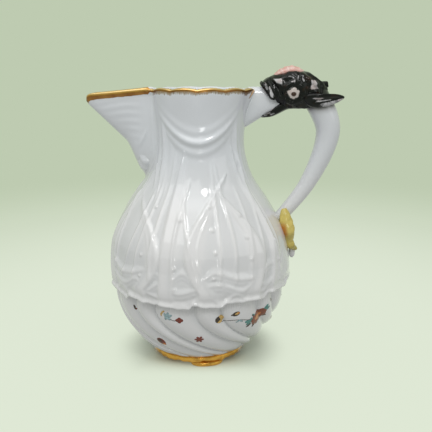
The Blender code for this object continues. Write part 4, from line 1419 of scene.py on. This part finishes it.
class JUG_OT_handle(bpy.types.Operator):
    """Model the handle's bridge to the rim and its long curved stem"""

    bl_idname = "jug.handle"
    bl_label = "Handle"
    bl_options = {"REGISTER", "UNDO"}

    def execute(self, context):
        start = Vector((AXIS_X + 16.5 * MM, 0, RIM_Z - 12.6 * MM))
        end = HEAD_CENTRE + Vector((-0.10 * HEAD_LENGTH, 0, -0.2 * HEAD_HEIGHT))
        path = smooth_path([start, start.lerp(end, 0.5) + Vector((0, 0, 2.2 * MM)), end], 18)
        wide = tapered(6.4, 6.0, 5.4, 4.8, 4.06)
        mesh = swept("bridge", path, SIDEWAYS, wide, tapered(11.4, 10.2, 8.4, 6.0, 3.4), 56, 0.75)
        keep_in_wall(mesh)
        add_piece("bridge_of_handle", mesh, [plain_glaze()], "porcelain", "handle_bridge")
        foot_radius = float(body_radius(TAIL_Z))
        points = [
            from_head(11.0, 0, -0.6),
            from_head(19.6, 0, -21.5),
            Vector((AXIS_X + foot_radius + 15.8 * MM, 0, TAIL_Z + 20 * MM)),
            Vector((AXIS_X + foot_radius - sizes().skirt_lip, 0, TAIL_Z - sizes().wall)),
        ]
        half = tapered(7.4, 7.1, 6.5, 5.5, 4.5, 3.8, 3.3)
        mesh = swept("stem", smooth_path(points, 30), SIDEWAYS, half, half, 48)
        keep_in_wall(mesh)
        add_piece("stem_of_handle", mesh, [stem_glaze()], "porcelain", "handle_stem")
        return {"FINISHED"}


# Lines on the side of the head, through points in mm from its middle: half width, height, points
RIDGES = (
    (1.7, 1.5, ((-16.8, 5.2), (-14.8, 2.2), (-12.4, -0.8), (-9.4, -4.4))),
    (1.3, 0.9, ((-14.4, 6.6), (-12.2, 3.4), (-9.8, 0.2), (-7.0, -3.2))),
    (0.9, -0.8, ((-13.0, 7.6), (-10.6, 4.2), (-8.2, 1.2), (-5.6, -2.0))),
    (1.6, 1.0, ((-7.4, 6.6), (-3.6, 9.0), (1.0, 9.8), (5.4, 8.6), (8.4, 5.0))),
    (1.0, 0.9, ((-6.0, -1.6), (-5.2, 2.8), (-1.0, 4.8), (3.4, 3.4), (5.0, -0.6))),
    (1.0, 0.7, ((5.0, -0.6), (2.4, -4.4), (-2.6, -5.0), (-6.0, -1.6))),
    (1.0, -0.9, ((6.8, 5.6), (8.0, 1.0), (6.8, -4.6))),
    (1.5, 0.7, ((10.0, 6.4), (12.2, 2.4), (11.8, -2.6))),
)
BROW_STROKES = (
    ((-3.8, 6.9), (-3.0, 7.8), (-1.2, 7.9), (-0.2, 7.2)),
    ((0.3, 6.8), (-0.7, 5.8), (-2.4, 5.5)),
    ((2.0, 8.3), (1.6, 7.0), (2.6, 6.0)),
    ((3.0, 8.4), (4.2, 8.0), (3.8, 6.8), (4.8, 6.0), (4.0, 5.3)),
    ((-6.0, 6.4), (-5.4, 5.2)),
    ((6.6, -2.4), (7.4, -3.6)),
)
# Pale marks on the lips: strength, half width, points
LIP_MARKS = (
    (1.0, 0.42, ((-12.9, 3.2), (-11.9, 0.4), (-10.9, -1.8))),
    (0.42, 0.4, ((-15.0, 4.9), (-14.3, 3.0), (-13.4, 1.2))),
    (0.38, 0.3, ((-10.9, 4.2), (-10.4, 2.4))),
    (0.4, 0.3, ((-15.4, 1.8), (-13.6, -1.2), (-11.4, -3.6))),
)


def head_relief(x, z):
    """Height in mm of the lips, the nostril, the brow, the eye's ring and the gill lines."""
    raised = np.zeros(x.shape)
    for half_width, height, points in RIDGES:
        raised += ridge(x, z, points, half_width, height)
    raised += bell(np.hypot((x + 8.8) / 1.3, z - 6.0), 1.6)
    for points in BROW_STROKES:
        raised += ridge(x, z, points, 0.7, 0.8)
    return raised + 0.3 * np.sin(1.15 * x + 0.7 * z + 0.6) * np.sin(0.9 * z - 0.5 * x)


def head_marks(x, z):
    """Where the pale enamel lies: thin strokes, a patch before the eye and a painted reflection, a wedge,
    behind it.
    """
    cheek = step(-0.5, 0.5, 6.9 - z) * step(-0.5, 0.5, z - 4.4 + 0.25 * (x + 8.2))
    cheek = 0.9 * cheek * step(-0.5, 0.5, x + 10.3 - 0.9 * (5.8 - z)) * step(-0.4, 0.4, -6.5 - x)
    # Painted reflection: a pale wedge behind the eye
    painted_reflection = step(-0.4, 0.4, x - 8.5) * step(-0.5, 0.5, 10.5 + 0.39 * (6.75 - z) - x)
    painted_reflection = 0.75 * painted_reflection * step(-0.4, 0.5, z - 1.8) * step(-0.4, 0.5, 6.7 - z)
    pale = np.maximum(cheek, painted_reflection)
    for strength, half_width, points in LIP_MARKS:
        pale = np.maximum(pale, strength * mark(x, z, points, half_width))
    for points in BROW_STROKES:
        pale = np.maximum(pale, 0.58 * mark(x, z, points, 0.34))
    return pale


class JUG_OT_head(bpy.types.Operator):
    """Model the sea beast's head and its lower jaw"""

    bl_idname = "jug.head"
    bl_label = "Beast Head"
    bl_options = {"REGISTER", "UNDO"}

    def execute(self, context):
        black = black_enamel()
        stations = 110
        shares = [0.5 - 0.5 * math.cos(math.pi * k / stations) for k in range(stations + 1)]

        def at(size):
            return lambda share: size(shares[round(share * stations)])

        path = [head_place(share) for share in shares]
        mesh = swept("head", path, SIDEWAYS, at(rounded(HEAD_WIDTH / 2)), at(head_half_height), 96, 0.9)
        self.trim_outline(mesh)
        x, z = head_points(mesh)
        facing = np.abs(normals_of(mesh)[:, 1])
        raise_points(mesh, head_relief(x, z) * MM * (0.25 + 0.75 * step(0.1, 0.5, facing)))
        paint(mesh, "pale", head_marks(x, z) * step(0.15, 0.4, facing))
        add_piece("sea_beast_head", mesh, [black], "black_enamel", "beast_head")
        self.add_jaw(black)
        return {"FINISHED"}

    def trim_outline(self, mesh):
        """Slope the mouth back under the snout, and draw in the throat and the nape."""
        co = points_of(mesh)
        x, z = head_points(mesh)
        x = np.where(x < 0, x * 0.93, x)
        mouth = smooth_curve((-18.0, -15.7, -13.7, -11.7, -9.0), (7.0, 3.4, -0.4, -2.2, -3.2))(x)
        z = np.where(x < -9.0, np.maximum(z, mouth - 0.15 * np.clip(mouth - z, 0, None)), z)
        throat = -5.0 - 3.4 * step(-9.0, -2.0, x)
        z = np.where((x >= -9.0) & (z < throat), throat + 0.35 * (z - throat), z)
        nape = 12.2 - 0.72 * np.clip(x - 5.5, 0.0, None)
        z = np.where(z > nape, nape + 0.12 * (z - nape), z)
        co[:, 0] = HEAD_CENTRE.x + x * MM
        co[:, 2] = HEAD_CENTRE.z + z * MM
        move_points(mesh, co)

    def add_jaw(self, black):
        """The lower jaw, with pale strokes along its sides."""
        places = ((3.0, -4.8), (-4.0, -6.6), (-8.6, -9.3), (-12.2, -11.5), (-16.6, -12.9))
        path = smooth_path([from_head(x, 0, z) for x, z in places], 10)
        wide = tapered(6.4, 6.2, 5.6, 5.0, 4.4, 2.6)
        mesh = swept("jaw", path, SIDEWAYS, wide, tapered(4.0, 3.2, 2.9, 2.5, 1.8, 0.5), 40, 0.9)
        along = kept(mesh, "along")
        under = np.sin(kept(mesh, "around"))
        pale = bell(under - 0.1, 0.22) * step(0.45, 0.75, along)
        pale = np.maximum(pale, bell(under + 0.62, 0.2) * step(0.3, 0.5, along) * step(0.95, 0.7, along))
        pale = np.maximum(pale, bell(under + 0.2, 0.3) * step(0.6, 0.8, along) * step(1.0, 0.9, along))
        paint(mesh, "pale", 0.55 * pale)
        raise_points(mesh, 0.5 * MM * bell(np.abs(under) - 0.35, 0.25) * step(0.2, 0.5, along))
        add_piece("sea_beast_jaw", mesh, [black], "black_enamel", "lower_jaw")


# Points of the eye's pale patch: turn, reach, half width
EYE_POINTS = (
    (1.50, 0.12, 0.30), (0.25, 0.14, 0.35), (2.95, 0.15, 0.30), (-1.6, 0.04, 0.6),
    (0.85, -0.08, 0.22), (2.25, -0.07, 0.25), (-2.35, 0.05, 0.3), (-0.75, 0.05, 0.3),
)
EYE_PATCH = 0.77
GILL_POINTS = ((5.0, 6.8, -2.6), (10.0, 8.6, -3.8), (16.5, 8.9, -3.7), (26.2, 7.6, -2.3))
BACK_GILL_DROP = 1.6


class JUG_OT_face(bpy.types.Operator):
    """Model the eyes, the ruffled crest, the nape stub and the gill fins"""

    bl_idname = "jug.face"
    bl_label = "Beast Face"
    bl_options = {"REGISTER", "UNDO"}

    def execute(self, context):
        black = black_enamel()
        white = eye_enamel()
        for name, sign in SIDES:
            self.add_eye(name, sign, white)
            self.add_gill(name, sign, black)
        self.add_crest()
        self.add_nape(black)
        return {"FINISHED"}

    def add_nape(self, black):
        """The stub at the nape, pale at its end."""
        path = smooth_path([from_head(9.0, 0, 1.2), from_head(13.6, 0, 3.0), from_head(18.5, 0, 3.9)], 12)
        wide = tapered(3.4, 3.0, 2.6, 2.0)
        mesh = swept("nape", path, SIDEWAYS, wide, tapered(3.2, 2.7, 2.1, 1.6), 32, 0.8)
        paint(mesh, "pale", 0.25 * step(0.8, 1.0, kept(mesh, "along")))
        add_piece("nape_stub", mesh, [black], "black_enamel", "nape_fin")

    def add_eye(self, name, sign, white):
        """A bulging eye: a dished pupil in a pale patch with a ragged edge."""
        node = "eye_" + name
        low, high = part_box(node)
        centre = (low + high) / 2
        radius = (high.x - low.x) / 2
        mesh = mesh_from(ball(72, 48, Matrix.Rotation(math.pi / 2, 4, "X")), node)
        co = points_of(mesh)
        at_x = co[:, 0].copy()
        at_z = co[:, 2].copy()
        reach = np.hypot(at_x, at_z)
        angle = np.arctan2(at_z, at_x)
        patch = np.full_like(angle, EYE_PATCH)
        for place, point, half in EYE_POINTS:
            patch = patch + point * bell(np.angle(np.exp(1j * (angle - place))), half)
        dish = 0.16 * bell(reach, 0.42) - 0.12 * bell(reach - 0.42, 0.1)
        outward = co[:, 1] * sign > 0
        depth = np.where(outward, 1.25 + dish, 2.4) * MM
        co[:, 0] = centre.x + radius * 1.12 * co[:, 0]
        co[:, 2] = centre.z - 0.6 * MM + radius * 1.05 * co[:, 2]
        co[:, 1] = sign * (HEAD_WIDTH / 2 + 0.05 * MM) + co[:, 1] * depth
        move_points(mesh, co)
        paint(mesh, "pupil", step(0.46, 0.30, np.hypot(at_x, 1.1 * (at_z + 0.12))) * outward)
        paint(mesh, "rim", step(-0.20, 0.20, reach - patch))
        add_piece("eyeball_" + name, mesh, [white], "eye_white", node)

    def add_gill(self, name, sign, black):
        """A boat-shaped fin, hollowed along its outer side and drawn out to a point."""
        drop = BACK_GILL_DROP if name == "back" else 0.0
        path = smooth_path([from_head(x, sign * y, z - drop) for x, y, z in GILL_POINTS], 20)
        flare = Vector((0, 0.35 * sign, 0.94))
        wide = tapered(1.4, 3.2, 3.9, 4.0, 3.7, 2.7, 0.5)
        mesh = swept("gill_" + name, path, flare, wide, tapered(1.6, 2.0, 1.9, 1.7, 1.3, 0.9, 0.4), 40)
        along = kept(mesh, "along")
        across = np.cos(kept(mesh, "around"))
        outside = normals_of(mesh)[:, 1] * sign
        hollow = bell(across - 0.1, 0.42) * step(0.2, 0.7, outside)
        raise_points(mesh, -1.0 * MM * hollow * step(0.15, 0.4, along) * step(1.0, 0.8, along))
        under = step(-0.1, -0.36, across) * step(0.42, 0.66, along)
        # Painted highlight: two pale lines along the fin's hollowed side
        band = bell(across - 0.42, 0.11) * step(0.22, 0.4, along) * step(0.72, 0.55, along)
        band = np.maximum(band, bell(across - 0.02, 0.12) * step(0.34, 0.5, along) * step(0.86, 0.7, along))
        paint(mesh, "pale", np.maximum(0.8 * under, band))
        add_piece("gill_" + name, mesh, [black], "black_enamel", "gill_fin_" + name)

    def add_crest(self):
        """A soft ruffle along the top of the head."""
        low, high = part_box("crest")
        span = (high.x - low.x) / HEAD_LENGTH
        middle = ((low.x + high.x) / 2 - HEAD_CENTRE.x) / HEAD_LENGTH + 0.5
        stations = 60
        path = []
        for k in range(stations + 1):
            share = middle + span * (k / stations - 0.5)
            arch = 1 - (2 * k / stations - 1) ** 2
            path.append(head_place(share + 0.02, head_half_height(share) - 1.2 * MM + 1.1 * MM * arch))
        mesh = swept("crest", path, SIDEWAYS, rounded(4.2 * MM, 2.6), rounded(2.5 * MM, 2.0), 56)
        along = kept(mesh, "along")
        around = kept(mesh, "around")
        ruffle = np.sin(math.tau * 5.5 * along + 1.6 * np.cos(around)) + 0.5 * np.sin(math.tau * 9 * along)
        top = np.clip(np.sin(around), 0, 1)
        raise_points(mesh, 0.12 * MM * ruffle * (0.35 + 0.65 * top))
        # Painted highlight: paler pink on the ruffles' tops and along the crest's upper side
        paint(mesh, "crest_highlight", 0.3 * step(0.3, 1.1, ruffle) + 0.4 * bell(np.sin(around) - 0.55, 0.25))
        pink = mottled_enamel("pink_enamel", colours().pink, colours().blush, 420, 0.5, "crest_highlight")
        add_piece("ruffled_crest", mesh, [pink], "pink_enamel", "crest")


# Middle lines of the flukes: how far round the body, up from the tail's root and off the skin, in mm
SIDE_FLUKE = ((5.2, -1.0, 3.6), (5.6, -7.0, 2.4), (4.0, -13.5, 1.5), (3.0, -17.5, 3.0))
SIDE_FLUKE_STARTS = {"front": (3.4, 6.0, 6.2), "back": (3.4, 2.0, 6.2)}
LOWER_FLUKE = ((0, 3.0, 4.4), (0, -7.0, 2.2), (0, -13.5, 1.3), (0, -16.8, 2.2), (0, -18.8, 5.0))
DROP_SETBACK = 1.5 * MM


class JUG_OT_tail(bpy.types.Operator):
    """Model the tail's leafy flukes and the drop below them"""

    bl_idname = "jug.tail"
    bl_label = "Tail"
    bl_options = {"REGISTER", "UNDO"}

    def execute(self, context):
        olive = colours().olive
        yellow = mottled_enamel("yellow_enamel", colours().yellow, olive, 160, 0.35, "shade", "rust")
        wide = tapered(0.9, 2.4, 2.9, 2.3, 1.9, 2.0, 0.8)
        tall = tapered(1.2, 3.2, 3.9, 3.6, 2.2, 2.4, 0.9)
        for name, sign in SIDES:
            places = (SIDE_FLUKE_STARTS[name], *SIDE_FLUKE)
            points = [tail_point(sign * sideways, rise, lift) for sideways, rise, lift in places]
            self.add_fluke(name, points, wide, tall, yellow)
        wide = tapered(2.6, 4.8, 5.0, 3.8, 3.4, 2.6, 0.7)
        tall = tapered(2.0, 3.4, 3.4, 2.4, 1.8, 1.6, 0.6)
        self.add_fluke("lower", [tail_point(*place) for place in LOWER_FLUKE], wide, tall, yellow)
        low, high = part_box("tail_tip")
        top = Vector((low.x + DROP_SETBACK, 0, high.z + DROP_SETBACK))
        path = smooth_path([top, Vector((high.x - DROP_SETBACK, 0, low.z))], 14)
        half = tapered(1.3, 1.7, 1.8, 1.5, 0.7)
        mesh = swept("drop", path, SIDEWAYS, half, half)
        lilac = mottled_enamel("lilac_glaze", colours().white, colours().lilac, 260, 0.8)
        add_piece("tail_drop", mesh, [lilac], "porcelain", "tail_tip")
        return {"FINISHED"}

    def add_fluke(self, name, points, wide, tall, yellow):
        """A fleshy leaf laid on the body, with a groove down its middle and wavy edges."""
        mesh = swept("fluke_" + name, smooth_path(points, 14), SIDEWAYS, wide, tall, 48)
        along = kept(mesh, "along")
        across = np.cos(kept(mesh, "around"))
        outward = np.sin(kept(mesh, "around"))
        outside = np.clip(outward, 0, 1)
        groove = bell(across, 0.2) * outside
        veins = 0.5 + 0.5 * np.sin(math.tau * (6 * along - 0.9 * np.abs(across)))
        wave = np.abs(across) ** 2 * np.sin(math.tau * 2.5 * along)
        ends = np.clip(6 * np.minimum(along, 1 - along), 0, 1)
        raise_points(mesh, MM * ends * (0.35 * wave + 0.3 * veins * outside - 0.5 * groove))
        paint(mesh, "shade", np.clip(0.45 * groove + 0.45 * step(0.72, 0.9, along), 0, 1))
        paint(mesh, "rust", step(-0.1, 0.5, -outward) * step(0.2, 0.36, along) * step(0.64, 0.48, along))
        add_piece("tail_leaf_" + name, mesh, [yellow], "yellow_enamel", "tail_fluke_" + name)


# Stage

CAMERA_PLACE = Vector((0.0, -0.375, 0.1803))
CAMERA_DOWN = math.radians(15.03)
CAMERA_LENS = 57.74
CAMERA_SENSOR = 36.0
# Each lamp's name, place, aim, extent and watts
LAMPS = (
    ("overhead", (-0.06, -0.20, 1.10), (0.0, 0.0, 0.08), (1.0, 1.0), 2.05),
    ("front", (-0.30, -0.55, 0.88), (0.0, 0.0, 0.08), (1.0, 0.7), 3.1),
    ("glint", (0.14, -0.62, 0.75), (0.0, 0.0, 0.08), (0.16, 0.16), 0.8),
    ("low glint", (0.08, -1.0, 0.16), (0.0, 0.0, 0.06), (0.16, 0.16), 0.4),
    ("window", (0.75, -0.45, 0.45), (0.0, 0.0, 0.08), (0.4, 0.6), 0.50),
)
AMBIENT = 0.48
GROUND_GLOW = 0.92
NEUTRAL = (0.36, 0.36, 0.36)
FLOOR_RADIUS = 3.0
# Distances over which the floor goes from pale to sage, and those over which its shadow gives way
PALE_GROUND = (0.12, 0.52)
SHADOW_REACH = (0.13, 0.36)
SHADOW_ROUND_FOOT = (0.031, 0.053)
SHADOW_IN_FRONT = (0.014, 0.038)
SHADOW_THINNED = 0.92


def seen_rays(wire):
    """1 for the rays that show the ground: straight, mirrored or through glass; 0 for the others."""
    rays = wire.add("ShaderNodeLightPath", {}).socket.node.outputs
    seen = Wire(wire.tree, rays["Is Camera Ray"])
    for name in ("Is Glossy Ray", "Is Transmission Ray"):
        seen = seen.math("MAXIMUM", Wire(wire.tree, rays[name]))
    return seen


class JUG_OT_stage(bpy.types.Operator):
    """Set the pale ground, the soft studio lamps and the camera"""

    bl_idname = "jug.stage"
    bl_label = "Stage"
    bl_options = {"REGISTER", "UNDO"}

    def execute(self, context):
        scene = context.scene
        scene.view_settings.view_transform = "Standard"
        self.add_floor()
        self.light_world(scene)
        for name, place, aim, extent, watts in LAMPS:
            self.add_lamp(name, Vector(place), Vector(aim), extent, watts)
        lens = bpy.data.cameras.new("camera")
        lens.lens = CAMERA_LENS
        lens.sensor_width = CAMERA_SENSOR
        camera = bpy.data.objects.new("camera", lens)
        camera.location = CAMERA_PLACE
        camera.rotation_euler = Euler((math.pi / 2 - CAMERA_DOWN, 0, 0))
        scene.collection.objects.link(camera)
        scene.camera = camera
        return {"FINISHED"}

    def add_floor(self):
        """A wide disc, pale under the jug and sage further back."""
        bm = bmesh.new()
        bmesh.ops.create_circle(bm, cap_ends=True, segments=96, radius=FLOOR_RADIUS)
        floor = bpy.data.objects.new("floor", mesh_from(bm, "floor"))
        material = bpy.data.materials.new("ground")
        material.use_nodes = True
        tree = material.node_tree
        tree.nodes.remove(tree.nodes["Principled BSDF"])
        wire = Wire(tree)
        x, y, _ = coordinates(wire)
        distance = (x * x + y * y).math("SQRT")
        ground = distance.step(*PALE_GROUND).blend(colours().floor, colours().backdrop)
        tone = seen_rays(wire).blend(NEUTRAL, ground)
        matt = wire.add("ShaderNodeBsdfDiffuse", {"Color": tone})
        glow = wire.add("ShaderNodeEmission", {"Color": tone, "Strength": GROUND_GLOW})
        side = x - AXIS_X
        beyond = (side * side + y * y).math("SQRT").step(*SHADOW_ROUND_FOOT)
        beyond = beyond.math("MAXIMUM", (y * -1.0).step(*SHADOW_IN_FRONT))
        even = distance.step(*SHADOW_REACH).math("MAXIMUM", beyond * SHADOW_THINNED)
        mixed = wire.add("ShaderNodeMixShader", {0: even, 1: matt, 2: glow})
        tree.links.new(mixed.socket, tree.nodes["Material Output"].inputs["Surface"])
        floor.data.materials.append(material)
        bpy.context.scene.collection.objects.link(floor)

    def light_world(self, scene):
        """Soft light from all round, with the sage ground shown where the sky is seen or mirrored."""
        world = bpy.data.worlds.new("studio")
        world.use_nodes = True
        tree = world.node_tree
        tree.nodes.remove(tree.nodes["Background"])
        wire = Wire(tree)
        sage = (*colours().backdrop, 1.0)
        soft = wire.add("ShaderNodeBackground", {"Color": (1, 1, 1, 1), "Strength": AMBIENT})
        shown = wire.add("ShaderNodeBackground", {"Color": sage, "Strength": GROUND_GLOW})
        mixed = wire.add("ShaderNodeMixShader", {0: seen_rays(wire), 1: soft, 2: shown})
        tree.links.new(mixed.socket, tree.nodes["World Output"].inputs["Surface"])
        scene.world = world

    def add_lamp(self, name, place, aim, extent, watts):
        light = bpy.data.lights.new(name, "AREA")
        light.shape = "DISK" if extent[0] == extent[1] else "RECTANGLE"
        light.size, light.size_y = extent
        light.energy = watts
        lamp = bpy.data.objects.new(name, light)
        lamp.location = place
        lamp.rotation_euler = (aim - place).to_track_quat("-Z", "Y").to_euler()
        bpy.context.scene.collection.objects.link(lamp)


OPERATORS = (
    JUG_OT_body, JUG_OT_bowl, JUG_OT_sprigs, JUG_OT_foot, JUG_OT_shell, JUG_OT_handle, JUG_OT_head,
    JUG_OT_face, JUG_OT_tail, JUG_OT_stage,
)


class JUG_PT_panel(bpy.types.Panel):
    """Buttons for each step, with the sizes and colours that they read"""

    bl_idname = "JUG_PT_panel"
    bl_label = "Milk Jug"
    bl_space_type = "VIEW_3D"
    bl_region_type = "UI"
    bl_category = "Jug"

    def draw(self, context):
        for operator in OPERATORS:
            self.layout.operator(operator.bl_idname)
        for group in (context.scene.jug_sizes, context.scene.jug_colours):
            for name in group.bl_rna.properties.keys():
                if name not in ("name", "rna_type"):
                    self.layout.prop(group, name)


CLASSES = (JugSizes, JugColours, *OPERATORS, JUG_PT_panel)


def register():
    for each in CLASSES:
        bpy.utils.register_class(each)
    bpy.types.Scene.jug_sizes = PointerProperty(type=JugSizes)
    bpy.types.Scene.jug_colours = PointerProperty(type=JugColours)


def unregister():
    del bpy.types.Scene.jug_colours
    del bpy.types.Scene.jug_sizes
    for each in reversed(CLASSES):
        bpy.utils.unregister_class(each)


def main():
    register()
    for step_name in ("body", "bowl", "sprigs", "foot", "shell", "handle", "head", "face", "tail", "stage"):
        getattr(bpy.ops.jug, step_name)()


if __name__ == "__main__":
    main()
